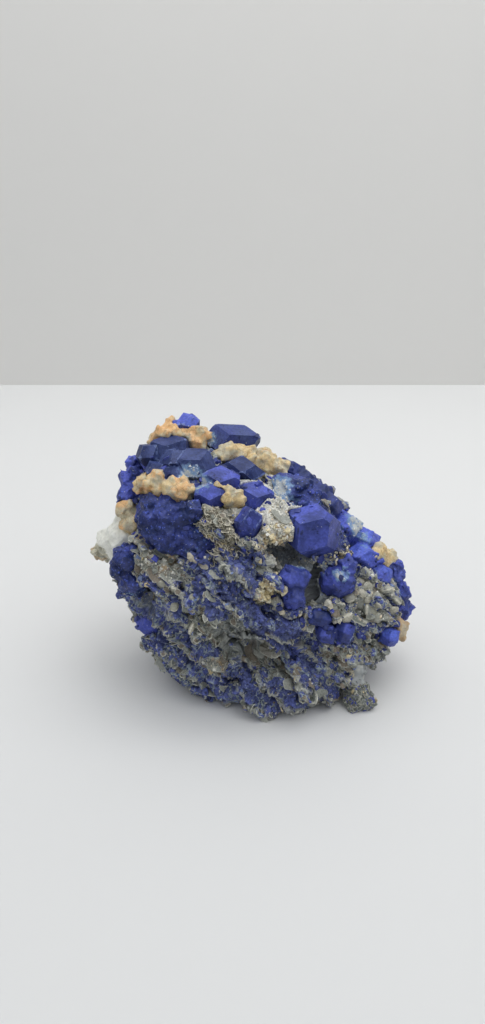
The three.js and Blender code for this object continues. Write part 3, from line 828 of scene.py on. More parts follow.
def buildReliefTree():
    names = ("Swell size", "Swell depth", "Grain size", "Grain depth", "Facet size", "Facet depth")
    tree, given, made = newTree("relief", names)
    place = placeInMm(tree)

    def scaled(name):
        return vector(tree, "SCALE", place, scale=calc(tree, "DIVIDE", 1.0, given[name]))

    swell = minus(tree, grainNoise(tree, scaled("Swell size"), 1.0, 2.0), 0.5)
    fine = minus(tree, grainNoise(tree, scaled("Grain size"), 1.0, 3.0, 0.6), 0.5)
    facet = minus(tree, 0.45, cells(tree, scaled("Facet size"), 1.0).outputs["Distance"])
    height = times(tree, swell, times(tree, given["Swell depth"], 2.0))
    height = timesPlus(tree, fine, times(tree, given["Grain depth"], 2.0), height)
    height = timesPlus(tree, facet, times(tree, given["Facet depth"], 2.0), height)
    shaped = keptAboveFloor(tree, pushedOut(tree, given["Geometry"], height))
    tree.links.new(shaped, made[0])
    return tree


rockWaves = {
    "pitSize": 4.2, "pitEdge": (0.42, 0.32), "domeEdge": (-0.02, 0.24), "domeMiddle": 0.6,
    "lipHeight": 0.5, "borderHeight": 0.25, "grainSize": 1.4, "calmOnPale": -0.45,
}


def buildRockTree():
    names = ("Step", "Dome", "Ledge depth", "Pit depth", "Hollow depth", "Grain depth")
    tree, given, made = newTree("host_rock_relief", names)
    place = placeInMm(tree)
    kept = remembered(tree, given["Geometry"], "restPlace", place, "FLOAT_VECTOR")
    layers = rockLayers(tree, place)
    blueHere, border = bluePatches(tree, layers, sharedDensity(tree, "blueShare"))
    pit = ramp(tree, grainNoise(tree, place, rockWaves["pitSize"], 3.0, 0.6), *rockWaves["pitEdge"])
    pit = times(tree, pit, minus(tree, 1.0, sharedDensity(tree, "paleShare")))
    for name, value in (("blueHere", blueHere), ("lipHere", layers["lip"]), ("pitHere", pit)):
        kept = remembered(tree, kept, name, value)
    dome = ramp(tree, layers["inside"], *rockWaves["domeEdge"])
    level = minus(tree, layers["level"], 0.5)
    height = times(tree, times(tree, level, given["Step"]), dome)
    height = timesPlus(tree, minus(tree, dome, rockWaves["domeMiddle"]), given["Dome"], height)
    ledge = times(tree, minus(tree, layers["ledge"], 0.5), layers["reach"])
    height = timesPlus(tree, ledge, given["Ledge depth"], height)
    height = timesPlus(tree, layers["lip"], rockWaves["lipHeight"], height)
    height = timesPlus(tree, border, rockWaves["borderHeight"], height)
    height = minus(tree, height, times(tree, pit, given["Pit depth"]))
    hollow = times(tree, sharedDensity(tree, "hollowShare"), given["Hollow depth"])
    height = minus(tree, height, hollow)
    fine = minus(tree, grainNoise(tree, place, rockWaves["grainSize"], 4.0, 0.65), 0.5)
    height = timesPlus(tree, fine, times(tree, given["Grain depth"], 2.0), height)
    calmer = timesPlus(tree, sharedDensity(tree, "paleShare"), rockWaves["calmOnPale"], 1.0)
    height = times(tree, times(tree, height, calmer), sharedDensity(tree, "open"))
    shaped = keptAboveFloor(tree, pushedOut(tree, kept, height))
    tree.links.new(shaped, made[0])
    return tree


knobTree = buildKnobTree()
sowTree = buildSowTree()
reliefTree = buildReliefTree()
rockTree = buildRockTree()
print("geometry trees built")


def marked(mesh, name, values):
    mark = mesh.attributes.get(name) or mesh.attributes.new(name, "FLOAT", "POINT")
    mark.data.foreach_set("value", np.asarray(values, np.float32))


def points(mesh):
    spots = np.zeros(len(mesh.vertices) * 3, np.float32)
    mesh.vertices.foreach_get("co", spots)
    return spots.reshape(-1, 3)


def meshOf(shape, name):
    mesh = bpy.data.meshes.new(name)
    shape.to_mesh(mesh)
    shape.free()
    return mesh


# small shapes that are sown by the hundred, each about one unit across
def hiddenKinds(name, makers):
    kinds = bpy.data.collections.new(name)
    for count, mesh in enumerate(makers):
        kinds.objects.link(bpy.data.objects.new(f"{name}_{count}", mesh))
    return kinds


def crystalGrain(seed, corners, flatness=1.0, narrow=1.0):
    dice = np.random.default_rng(seed)
    points = dice.normal(size=(corners, 3))
    points /= np.linalg.norm(points, axis=1)[:, None]
    shape = bmesh.new()
    for point in points * 0.5 * (1, narrow, flatness):
        shape.verts.new(point)
    bmesh.ops.convex_hull(shape, input=shape.verts)
    bmesh.ops.delete(shape, geom=[v for v in shape.verts if not v.link_faces], context="VERTS")
    bmesh.ops.recalc_face_normals(shape, faces=shape.faces)
    return meshOf(shape, "grain")


def flatNodule(seed):
    dice = np.random.default_rng(seed)
    shape = bmesh.new()
    bmesh.ops.create_icosphere(shape, subdivisions=2, radius=0.5)
    stretch = dice.uniform((0.90, 0.72, 0.42), (1.15, 0.98, 0.60))
    for vert in shape.verts:
        squared = np.array(vert.co) / max(abs(np.array(vert.co)).max(), 0.35)
        vert.co = Vector((0.6 * np.array(vert.co) + 0.16 * squared) * stretch)
    for face in shape.faces:
        face.smooth = True
    mesh = meshOf(shape, "nodule")
    heights = points(mesh)[:, 2]
    marked(mesh, "rim", 1 - np.abs(heights) / np.abs(heights).max())
    return mesh


def micaFlake(seed, look):
    dice = np.random.default_rng(seed)
    sides, thick = look["sides"], look["thick"]
    reach = dice.uniform(look["least"], 0.56, sides)
    turn = (np.arange(sides) + dice.uniform(-0.25, 0.25, sides)) * 2 * math.pi / sides
    width = dice.uniform(*look["narrow"])
    outline = np.stack([reach * np.cos(turn), reach * np.sin(turn) * width], axis=1)
    bend = dice.uniform(-look["curl"], look["curl"], 3)
    waves = dice.uniform(-look["crinkle"], look["crinkle"], sides)

    def ring(share, height):
        spots = []
        for (x, y), wave in zip(outline * share, waves):
            lift = bend[0] * x * x * 2 + bend[1] * y * y * 2 + bend[2] * x * y * 2
            spots.append(shape.verts.new((x, y, height + lift + wave * share)))
        return spots

    shape = bmesh.new()
    top, low = ring(1.0, thick / 2), ring(0.94, -thick / 2)
    inner = ring(look["inner"], thick / 2) if look["inner"] else top
    crown = shape.verts.new((0.02, 0.0, thick / 2))
    root = shape.verts.new((0.02, 0.0, -thick / 2))
    for count in range(sides):
        after = (count + 1) % sides
        shape.faces.new((crown, inner[count], inner[after]))
        shape.faces.new((root, low[after], low[count]))
        shape.faces.new((top[count], low[count], low[after], top[after]))
        if inner is not top:
            shape.faces.new((inner[count], top[count], top[after], inner[after]))
    mesh = meshOf(shape, "flake")
    marked(mesh, "rim", [1.0] * (2 * sides) + [0.0] * (len(mesh.vertices) - 2 * sides))
    return mesh


flakeShape = {
    "sides": 7, "thick": 0.07, "curl": 0.16, "crinkle": 0.04, "least": 0.30, "narrow": (0.60, 0.95),
    "inner": 0.0,
}
leafShape = {
    **flakeShape, "sides": 9, "thick": 0.045, "curl": 0.45, "crinkle": 0.10, "least": 0.22,
}
plateShape = {
    "sides": 13, "thick": 0.05, "curl": 0.40, "crinkle": 0.05, "least": 0.42, "narrow": (0.38, 0.62),
    "inner": 0.84,
}


def fourOf(name, firstSeed, maker):
    return hiddenKinds(name, [maker(seed) for seed in range(firstSeed, firstSeed + shapesPerKind)])


kinds = {
    "angular": fourOf("angular", 1, lambda seed: crystalGrain(seed, 9)),
    "blocky": fourOf("blocky", 11, lambda seed: crystalGrain(seed, 14, 0.8)),
    "nodule": fourOf("nodule", 1, flatNodule),
    "lens": fourOf("lens", 31, lambda seed: crystalGrain(seed, 16, 0.42, 0.62)),
    "flake": fourOf("flake", 21, lambda seed: micaFlake(seed, flakeShape)),
    "plate": fourOf("plate", 61, lambda seed: micaFlake(seed, plateShape)),
    "leaf": fourOf("leaf", 41, lambda seed: micaFlake(seed, leafShape)),
}
print("small shapes made")


def copyOfNode(name):
    shape = bmesh.new()
    shape.from_mesh(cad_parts[name].data)
    bmesh.ops.remove_doubles(shape, verts=shape.verts, dist=0.01 * mm)
    return placed(name + "_stone", meshOf(shape, name))


def closeSkin(target, voxel, rounds=2):
    skin = target.modifiers.new("skin", "REMESH")
    skin.mode = "VOXEL"
    skin.voxel_size = voxel * mm
    if rounds:
        soften = target.modifiers.new("soften", "SMOOTH")
        soften.iterations = rounds
        soften.factor = 0.5


def thinned(target, share):
    thin = target.modifiers.new("thin", "DECIMATE")
    thin.ratio = share


def distanceAlong(spots, stops):  # how far each spot is from a line through the stops, in mm
    stops = [np.array(inSpecimen(*stop)) for stop in stops]
    nearest = np.linalg.norm(spots - stops[0], axis=1)
    for start, end in zip(stops, stops[1:]):
        span = end - start
        share = np.clip((spots - start) @ span / (span @ span), 0, 1)[:, None]
        nearest = np.minimum(nearest, np.linalg.norm(spots - start - share * span, axis=1))
    return nearest / mm


frostPatches = {
    "besideCluster": {"at": [(0.32, 0.33, 0.84), (0.35, 0.30, 0.82)], "reach": 3.0},
    "underLongCrystal": {"at": [(0.37, 0.57, 0.93), (0.36, 0.62, 0.88)], "reach": 2.2},
    "saddleCrest": {"at": [(0.57, 0.38, 0.79), (0.59, 0.36, 0.73)], "reach": 3.2},
    "shoulder": {"at": [(0.81, 0.43, 0.64), (0.83, 0.38, 0.60)], "reach": 2.6},
    "roundedCrystal": {"at": [(0.735, 0.17, 0.547), (0.757, 0.165, 0.535)], "reach": 2.0},
    "cornerCrystal": {"at": [(0.96, 0.33, 0.26)], "reach": 1.4},
    "leftFoot": {"at": [(0.14, 0.21, 0.41)], "reach": 2.4},
    "blades": {"at": [(0.80, 0.12, 0.30)], "reach": 2.0},
    "largeCrystalFoot": {"at": [(0.62, 0.17, 0.575), (0.70, 0.17, 0.585)], "reach": 1.5},
    "behind": {"at": [(0.36, 0.90, 0.50), (0.42, 0.88, 0.60)], "reach": 3.0},
    "behindRight": {"at": [(0.68, 0.85, 0.42)], "reach": 3.0},
    "rightFlank": {"at": [(0.93, 0.60, 0.36)], "reach": 2.6},
}


fullWithin = {"patch": 0.7, "zone": 0.8}  # shares of the reach, and the fade takes one reach more


def nearness(spots, zone, full=fullWithin["patch"]):  # 1 at the zone's heart, 0 well outside it
    return np.clip(1 + full - distanceAlong(spots, zone["at"]) / zone["reach"], 0, 1)


def gapsTo(spots, names, reach):  # how far each spot is from the named nodes' skins, in mm
    corners, faces = [], []
    for name in names:
        start = len(corners)
        corners += [vertex.co.copy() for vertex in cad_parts[name].data.vertices]
        faces += [[start + i for i in face.vertices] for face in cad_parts[name].data.polygons]
    tree = BVHTree.FromPolygons(corners, faces)
    near = [tree.find_nearest(Vector(spot), reach * mm)[3] for spot in spots]
    return np.array([reach if gap is None else gap / mm for gap in near], np.float32)


contactDust = {"reach": 1.8, "most": 0.45}


def frostAt(spots):  # pale bloom in patches, and a little dust where a crystal meets the rock
    gap = gapsTo(spots, ["matrix"], contactDust["reach"])
    frost = contactDust["most"] * (1 - gap / contactDust["reach"])
    for patch in frostPatches.values():
        frost = np.maximum(frost, nearness(spots, patch))
    return frost


def readBack(mesh, name):
    values = np.zeros(len(mesh.vertices), np.float32)
    mesh.attributes[name].data.foreach_get("value", values)
    return values


def finished(target, stone, slot, *nodes, smooth=True):
    target.data.materials.clear()
    target.data.materials.append(stones[stone])
    target.data.polygons.foreach_set("use_smooth", [smooth] * len(target.data.polygons))
    if slot == "lazurite":
        marked(target.data, "frost", frostAt(points(target.data)))
    target.data.update()
    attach(target, "root")
    if nodes:
        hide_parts(*nodes)
    faces = sum(len(face.vertices) - 2 for face in target.data.polygons)
    print(f"{target.name}: {faces} triangles")
    return faces


def reliefOf(**waves):  # for each kind of wave its size and its depth in mm
    relief = {f"{kind.capitalize()} size": size for kind, (size, _) in waves.items()}
    return {**relief, **{f"{kind.capitalize()} depth": depth for kind, (_, depth) in waves.items()}}


# flat-faced crystals keep their crisp edges, with faint waves on the faces
crystalFinish = {
    "faceSize": 0.55, "flatWithin": 1.5, "mostRounds": 7, "sharpFrom": 14,
    "relief": reliefOf(swell=(3.2, 0.18), grain=(0.9, 0.06), facet=(1.0, 0.0)),
}
crystals = {
    "lazurite_long_crystal": "slate",
    "lazurite_summit_crystals": "cobalt",
    "lazurite_crown_group": "navy",
    "lazurite_cleft_crystal": "navy",
    "lazurite_ridge_crystals": "bright",
    "lazurite_six_sided_crystal": "bright",
    "lazurite_front_crystal": "bright",
    "lazurite_large_crystal": "bright",
    "lazurite_back_crystal": "deep",
    "lazurite_back_pair": "slate",
    "lazurite_crest_pair": "navy",
}

# worn crystals are rounded and lumpy, with smaller ones grown on them
wornFinish = {
    "voxel": 0.28, "smoothing": 1, "keep": 0.6, "firstSeed": 20, "smooth": True,
    "knobs": {
        "Per square mm": 0.14, "Gap": 1.2, "Smallest": 1.0, "Largest": 3.0, "Sink": 0.18, "Tilt": 0.8,
    },
    "relief": reliefOf(swell=(2.6, 0.35), grain=(0.8, 0.14), facet=(1.6, 0.12)),
}
wornCrystals = {
    "lazurite_slope_crystals": "deep",
    "lazurite_shoulder_crystals": "cobalt",
    "lazurite_rounded_crystal": "bright",
    "lazurite_cave_crystals": "bright",
    "lazurite_right_crystals": "bright",
    "lazurite_back_low_pair": "deep",
    "lazurite_lower_left_crystals": "bright",
    "lazurite_back_group": "bright",
    "lazurite_upper_blade": "deep",
    "lazurite_twin_blades": "bright",
    "lazurite_corner_crystal": "cobalt",
}

# rough masses are heaps of small crystals grown into one another
massFinish = {
    "voxel": 0.28, "smoothing": 0, "keep": 0.42, "firstSeed": 40, "smooth": False,
    "knobs": {
        "Per square mm": 0.32, "Gap": 1.5, "Smallest": 2.2, "Largest": 6.5, "Sink": 0.18, "Tilt": 0.8,
    },
    "relief": reliefOf(swell=(3.2, 0.40), grain=(0.9, 0.14), facet=(2.8, 0.25)),
}
masses = {
    "lazurite_rough_mass_left": "rough",
    "lazurite_rough_mass_right": "rough",
    "lazurite_left_column": "roughBright",
    "lazurite_left_clump": "rough",
    "lazurite_edge_beads_right": "roughBright",
    "lazurite_back_mass": "rough",
}

# tan calcite is a crust of rounded grains
calciteFinish = {
    "voxel": 0.32, "smoothing": 1, "keep": 0.55, "firstSeed": 60, "smooth": True,
    "knobs": {
        "Per square mm": 0.38, "Gap": 1.4, "Smallest": 2.0, "Largest": 4.8, "Sink": 0.10, "Tilt": 0.5,
    },
    "relief": reliefOf(swell=(2.8, 0.30), grain=(0.8, 0.15), facet=(2.2, 0.22)),
}
tanCalcites = {
    "tan_calcite_summit": "rusty",
    "tan_calcite_ridge": "cream",
    "tan_calcite_front": "cream",
    "tan_calcite_cluster_left": "rusty",
    "tan_calcite_left_patch": "rusty",
    "tan_calcite_shoulder": "cream",
    "tan_calcite_corner": "tan",
    "tan_calcite_back": "cream",
    "tan_calcite_back_low": "rusty",
}

# white calcite is massive and milky, with a few cleavage steps; its left tip is tan and its foot is flaky
milkyFinish = {"voxel": 0.42, "relief": reliefOf(swell=(4.5, 0.9), grain=(1.1, 0.22), facet=(2.8, 0.45))}
whiteCalcites = {
    "white_calcite_corner": "milky",
    "white_calcite_foot": "smoky",
    "white_calcite_back": "milky",
}
whiteStains = {
    "tanStain": {"at": [(0.00, 0.50, 0.45), (0.02, 0.50, 0.47)], "reach": 3.6},
    "greyStain": {"at": [(0.79, 0.09, 0.02), (0.84, 0.08, 0.03)], "reach": 4.4},
}


def fineFaces(mesh, finish):  # splits the faces evenly without moving an edge
    shape = bmesh.new()
    shape.from_mesh(mesh)
    flat = math.radians(finish["flatWithin"])
    bmesh.ops.dissolve_limit(shape, angle_limit=flat, verts=shape.verts, edges=shape.edges)
    bmesh.ops.triangulate(shape, faces=shape.faces)
    for _ in range(finish["mostRounds"]):
        long = [edge for edge in shape.edges if edge.calc_length() > finish["faceSize"] * mm]
        if not long:
            break
        bmesh.ops.subdivide_edges(shape, edges=long, cuts=1)
        bmesh.ops.triangulate(shape, faces=shape.faces)
    shape.to_mesh(mesh)
    shape.free()


def edgesOf(mesh):  # 1 at the points on a crystal's edges, 0 on its faces
    sharp = np.zeros(len(mesh.edges), bool)
    mesh.attributes["sharp_edge"].data.foreach_get("value", sharp)
    ends = np.zeros(len(mesh.edges) * 2, np.int32)
    mesh.edges.foreach_get("vertices", ends)
    worn = np.zeros(len(mesh.vertices), np.float32)
    worn[ends.reshape(-1, 2)[sharp].ravel()] = 1
    return worn


def makeCrystals():
    total = 0
    for name, stone in crystals.items():
        crystal = copyOfNode(name)
        fineFaces(crystal.data, crystalFinish)
        dressWith(crystal, reliefTree, crystalFinish["relief"])
        settled(crystal)
        crystal.data.set_sharp_from_angle(angle=math.radians(crystalFinish["sharpFrom"]))
        marked(crystal.data, "edge", edgesOf(crystal.data))
        total += finished(crystal, stone, "lazurite", name)
    return total


def makeHeaps(names, finish, slot):
    total = 0
    for order, (name, stone) in enumerate(names.items()):
        heap = copyOfNode(name)
        seed = finish["firstSeed"] + order
        dressWith(heap, knobTree, {**finish["knobs"], "Kinds": kinds["blocky"], "Seed": seed})
        closeSkin(heap, finish["voxel"], finish["smoothing"])
        dressWith(heap, reliefTree, finish["relief"])
        thinned(heap, finish["keep"])
        settled(heap)
        total += finished(heap, stone, slot, name, smooth=finish["smooth"])
    return total


def makeWhiteCalcites():
    total = 0
    for name, stone in whiteCalcites.items():
        block = copyOfNode(name)
        closeSkin(block, milkyFinish["voxel"])
        dressWith(block, reliefTree, milkyFinish["relief"])
        settled(block)
        for stain, zone in whiteStains.items():
            marked(block.data, stain, nearness(points(block.data), zone))
        total += finished(block, stone, "white_calcite", name)
    return total


rockFinish = {
    "voxel": 0.50, "keep": 0.78, "seatGap": 0.45, "reliefFade": 0.8, "sowingFade": 0.4, "farthest": 3.0,
    "bareFoot": 0.4, "calmFrom": 0.85, "calmOver": 0.2, "collar": 1.3,
    "thinner": {"inHollows": 0.75, "flakesOnBlue": 0.75, "specksOnLeaves": 0.7, "specksOnCalm": 0.7},
    "flakes": {"usual": 0.6, "moreOnLips": 0.8},
    "relief": {
        "Step": 2.0, "Dome": 0.8, "Ledge depth": 2.8, "Pit depth": 3.0, "Hollow depth": 4.2,
        "Grain depth": 0.55,
    },
}

# what the host rock is made of from place to place, and where shade is painted into its colour: where, how
# far it reaches in mm, and the shares there
usualShares = {
    "blueShare": 0.64, "paleShare": 0.0, "tanShare": 0.06, "flakeShare": 0.6, "noduleShare": 0.0,
    "leafShare": 0.0, "goldShare": 0.0, "hollowShare": 0.0, "gloomShare": 0.0, "plateShare": 0.15,
}
rockZones = {
    "saddle": {
        "at": [(0.51, 0.38, 0.81), (0.585, 0.24, 0.71), (0.61, 0.22, 0.66)], "reach": 6.5,
        "blueShare": 0.0, "paleShare": 1.0, "tanShare": 0.5, "flakeShare": 0.1,
    },
    "micaBook": {
        "at": [(0.35, 0.20, 0.75), (0.42, 0.18, 0.70)], "reach": 4.8, "blueShare": 0.0, "leafShare": 1.0,
        "flakeShare": 0.6, "tanShare": 0.1,
    },
    "leftLedge": {
        "at": [(0.17, 0.24, 0.61), (0.25, 0.16, 0.575)], "reach": 4.3, "blueShare": 0.0,
        "paleShare": 0.15, "tanShare": 0.85, "flakeShare": 1.0, "plateShare": 0.5,
    },
    "upperBlueBand": {
        "at": [
            (0.36, 0.13, 0.64), (0.45, 0.05, 0.58), (0.525, 0.06, 0.46), (0.59, 0.09, 0.30),
            (0.64, 0.08, 0.20),
        ],
        "reach": 4.2, "blueShare": 1.05, "flakeShare": 0.15, "plateShare": 0.0,
    },
    "mixedLeft": {
        "at": [(0.24, 0.10, 0.50), (0.33, 0.06, 0.45)], "reach": 3.2, "blueShare": 0.66,
        "flakeShare": 0.6, "noduleShare": 0.3,
    },
    "middleGreyBand": {
        "at": [(0.34, 0.05, 0.41), (0.40, 0.03, 0.37), (0.49, 0.11, 0.25), (0.61, 0.05, 0.16)],
        "reach": 3.4, "blueShare": 0.20, "tanShare": 0.2, "flakeShare": 1.0, "plateShare": 0.35,
    },
    "lowBlueBand": {
        "at": [
            (0.19, 0.21, 0.31), (0.29, 0.12, 0.24), (0.39, 0.10, 0.09), (0.49, 0.06, 0.09),
            (0.64, 0.02, 0.09),
        ],
        "reach": 5.0, "blueShare": 0.80, "flakeShare": 0.5,
    },
    "leftBlue": {"at": [(0.14, 0.21, 0.41)], "reach": 5.0, "blueShare": 0.8, "flakeShare": 0.4},
    "lowOrange": {
        "at": [(0.39, 0.11, 0.19)], "reach": 2.2, "blueShare": 0.0, "tanShare": 0.9, "paleShare": 0.15,
    },
    "shelf": {
        "at": [(0.32, 0.14, 0.60), (0.41, 0.05, 0.575), (0.46, 0.045, 0.50)], "reach": 1.8,
        "blueShare": 0.9, "plateShare": 1.0,
    },
    "beigeBeads": {
        "at": [(0.82, 0.19, 0.44), (0.88, 0.24, 0.42)], "reach": 5.6, "blueShare": 0.5, "paleShare": 0.15,
        "flakeShare": 0.3, "noduleShare": 1.0,
    },
    "caveBeads": {
        "at": [(0.73, 0.12, 0.43)], "reach": 3.6, "blueShare": 0.3, "flakeShare": 0.4, "noduleShare": 0.8,
    },
    "lowRight": {
        "at": [(0.80, 0.15, 0.18), (0.90, 0.30, 0.22)], "reach": 6.0, "blueShare": 0.35,
        "flakeShare": 0.7, "tanShare": 0.3,
    },
    "lowRightCrust": {
        "at": [(0.90, 0.30, 0.20)], "reach": 3.0, "blueShare": 0.0, "paleShare": 0.3, "tanShare": 0.9,
    },
    "tanNook": {
        "at": [(0.73, 0.26, 0.53), (0.765, 0.34, 0.54)], "reach": 1.7, "tanShare": 1.0, "goldShare": 0.8,
    },
    "goldenCluster": {
        "at": [(0.53, 0.075, 0.50), (0.545, 0.075, 0.52)], "reach": 2.2, "blueShare": 0.0,
        "tanShare": 1.0, "goldShare": 1.0,
    },
    "goldenLeft": {"at": [(0.19, 0.18, 0.42)], "reach": 1.4, "tanShare": 1.0, "goldShare": 1.0},
    "saddleFoot": {
        "at": [(0.525, 0.13, 0.645), (0.57, 0.16, 0.69), (0.60, 0.19, 0.65)], "reach": 2.0,
        "paleShare": 0.5, "tanShare": 1.0, "goldShare": 0.5,
    },
    # the cave and the hollows below get painted shade in the colour, and hollowShare also sinks them
    "cave": {
        "at": [(0.56, 0.25, 0.585), (0.63, 0.24, 0.555), (0.68, 0.22, 0.50), (0.665, 0.17, 0.43)],
        "reach": 2.8, "blueShare": 0.30, "flakeShare": 0.2, "hollowShare": 1.0, "gloomShare": 0.75,
    },
    "caveRoof": {
        "at": [(0.555, 0.235, 0.58), (0.60, 0.25, 0.575), (0.645, 0.235, 0.55)], "reach": 2.6,
        "gloomShare": 1.0, "plateShare": 0.0,
    },
    "leftHollow": {
        "at": [(0.20, 0.21, 0.46), (0.205, 0.20, 0.41)], "reach": 2.6, "hollowShare": 1.2,
        "gloomShare": 1.0,
    },
    "lowHollow": {
        "at": [(0.425, 0.05, 0.31), (0.445, 0.03, 0.33), (0.477, 0.11, 0.25)], "reach": 4.0,
        "blueShare": 0.1, "hollowShare": 1.0, "gloomShare": 0.4,
    },
}


# slow waves, so that the shares drift a little from place to place
drift = {
    "turns": (0.31, 0.27, 0.23), "starts": (0.4, 1.3, 2.2), "blueShare": 0.30, "flakeShare": -0.5,
    "tanAcross": 0.21, "tanUp": 0.19, "tanStart": 2.0, "tanShare": 0.15,
}


def zoneShares(spots):
    shares = {name: np.full(len(spots), value, np.float32) for name, value in usualShares.items()}
    wave = np.sin(spots / mm * drift["turns"] + drift["starts"]).prod(axis=1)
    for name in ("blueShare", "flakeShare"):
        shares[name] += drift[name] * wave
    across = np.sin(spots[:, 0] / mm * drift["tanAcross"] + drift["tanStart"])
    shares["tanShare"] += drift["tanShare"] * across * np.sin(spots[:, 2] / mm * drift["tanUp"])
    for zone in rockZones.values():
        weight = nearness(spots, zone, fullWithin["zone"])
        for name in shares:
            if name in zone:
                shares[name] += (zone[name] - shares[name]) * weight
    return shares


def makeHostRock():
    rock = copyOfNode("matrix")
    closeSkin(rock, rockFinish["voxel"], 1)
    settled(rock)
    spots = points(rock.data)
    for name, values in zoneShares(spots).items():
        marked(rock.data, name, values)
    others = [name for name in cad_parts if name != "matrix"]
    gap = gapsTo(spots, others, rockFinish["farthest"])
    clear = gap - rockFinish["seatGap"]
    marked(rock.data, "open", np.clip(clear / rockFinish["reliefFade"], 0, 1))
    dressWith(rock, rockTree, rockFinish["relief"])
    settled(rock)
    spots = points(rock.data)
    raised = spots[:, 2] >= rockFinish["bareFoot"] * mm
    here = {name: readBack(rock.data, name) for name in (*usualShares, "blueHere", "lipHere")}
    blue, pale, leaf = here["blueHere"], here["paleShare"], here["leafShare"]
    thinner, flakes = rockFinish["thinner"], rockFinish["flakes"]
    sparse = 1 - thinner["inHollows"] * here["hollowShare"]
    free = np.clip(clear / rockFinish["sowingFade"], 0, 1) * raised * sparse
    calm = np.clip((here["blueShare"] - rockFinish["calmFrom"]) / rockFinish["calmOver"], 0, 1)
    onLips = flakes["usual"] + flakes["moreOnLips"] * here["lipHere"]
    offLeaves = 1 - thinner["specksOnLeaves"] * leaf
    seeds = {
        "blueSeed": blue,
        "greySeed": (1 - blue) * ((1 - pale) * (1 - leaf)),
        "flakeSeed": here["flakeShare"] * (1 - thinner["flakesOnBlue"] * blue) * onLips,
        "leafSeed": leaf,
        "paleSeed": pale,
        "plateSeed": here["plateShare"],
        "speckSeed": (1 - pale) * offLeaves * (1 - thinner["specksOnCalm"] * calm) * clumped(spots),
        "noduleSeed": here["noduleShare"],
        "goldSeed": here["goldShare"],
        "collarSeed": np.clip(2.0 - gap / rockFinish["collar"], 0, 1),
    }
    for name, values in seeds.items():
        marked(rock.data, name, values * free)
    return rock


clumps = {"wide": (1.3, 1.1, 0.9), "narrow": (2.3, 1.9, 2.1), "start": 1.0, "usual": 0.5, "swing": 0.45}


def clumped(spots):  # 0 to 1 in loose clumps a few mm across
    narrow = np.sin(spots[:, [1, 2, 0]] / mm * clumps["narrow"] + clumps["start"])
    waves = np.sin(spots / mm * clumps["wide"]) + narrow
    return np.clip(clumps["usual"] + clumps["swing"] * waves.sum(axis=1), 0, 1)


sowings = {
    "blue_lumps": {
        "kinds": "lens", "stone": "blueLump", "slot": "lazurite", "skin": 0.42, "keep": 0.5,
        "relief": massFinish["relief"], "Share": "blueSeed", "Seed": 6, "Per square mm": 0.22, "Gap": 1.7,
        "Smallest": 2.2, "Largest": 7.0, "Sink": 0.16, "Tilt": 0.35, "Along layers": 0.85,
        "Along strike": 0.85,
    },
    "grey_lumps": {
        "kinds": "lens", "stone": "greyLump", "slot": "mica_rock", "skin": 0.42, "keep": 0.5,
        "relief": massFinish["relief"], "Share": "greySeed", "Seed": 16, "Per square mm": 0.20,
        "Gap": 1.6, "Smallest": 1.8, "Largest": 6.0, "Sink": 0.20, "Tilt": 0.45, "Along layers": 0.8,
        "Along strike": 0.85,
    },
    "mica_flakes": {
        "kinds": "flake", "stone": "flake", "slot": "mica_rock", "Share": "flakeSeed", "Seed": 5,
        "Per square mm": 0.34, "Gap": 0.5, "Smallest": 0.6, "Largest": 2.8, "Sink": -0.01, "Tilt": 0.35,
        "Along layers": 0.3, "Along strike": 0.6,
    },
    "crust_plates": {
        "kinds": "plate", "stone": "flake", "slot": "mica_rock", "Share": "plateSeed", "Seed": 25,
        "Per square mm": 0.12, "Gap": 2.0, "Smallest": 2.6, "Largest": 6.5, "Sink": -0.02, "Tilt": 0.20,
        "Along layers": 0.35, "Along strike": 0.9,
    },
    "book_leaves": {
        "kinds": "leaf", "stone": "bookLeaf", "slot": "mica_rock", "Share": "leafSeed", "Seed": 15,
        "Per square mm": 2.4, "Gap": 0.35, "Smallest": 1.0, "Largest": 3.4, "Sink": -0.05, "Tilt": 0.4,
        "Along layers": 0.6, "Along strike": 0.6,
    },
    "collar_grains": {
        "kinds": "blocky", "stone": "collarGrain", "slot": "lazurite", "Share": "collarSeed", "Seed": 9,
        "Per square mm": 0.50, "Gap": 0.7, "Smallest": 0.6, "Largest": 2.9, "Sink": 0.1, "Tilt": 0.6,
    },
    "pale_grains": {
        "kinds": "angular", "stone": "paleGrain", "slot": "mica_rock", "Share": "paleSeed", "Seed": 7,
        "Per square mm": 3.2, "Gap": 0.32, "Smallest": 0.4, "Largest": 1.3, "Sink": 0.05, "Tilt": 0.6,
    },
    "speckles": {
        "kinds": "angular", "stone": "mixedGrain", "slot": "mica_rock", "Share": "speckSeed", "Seed": 12,
        "Per square mm": 0.60, "Gap": 0.45, "Smallest": 0.35, "Largest": 1.4, "Sink": 0.1, "Tilt": 0.6,
    },
    "beige_nodules": {
        "kinds": "nodule", "stone": "nodule", "slot": "mica_rock", "Share": "noduleSeed", "Seed": 8,
        "Per square mm": 0.16, "Gap": 2.3, "Smallest": 2.2, "Largest": 4.4, "Sink": 0.10, "Tilt": 0.15,
    },
    "golden_grains": {
        "kinds": "angular", "stone": "golden", "slot": "tan_calcite", "Share": "goldSeed", "Seed": 18,
        "Per square mm": 2.2, "Gap": 0.4, "Smallest": 0.6, "Largest": 1.9, "Sink": -0.05, "Tilt": 0.6,
    },
}


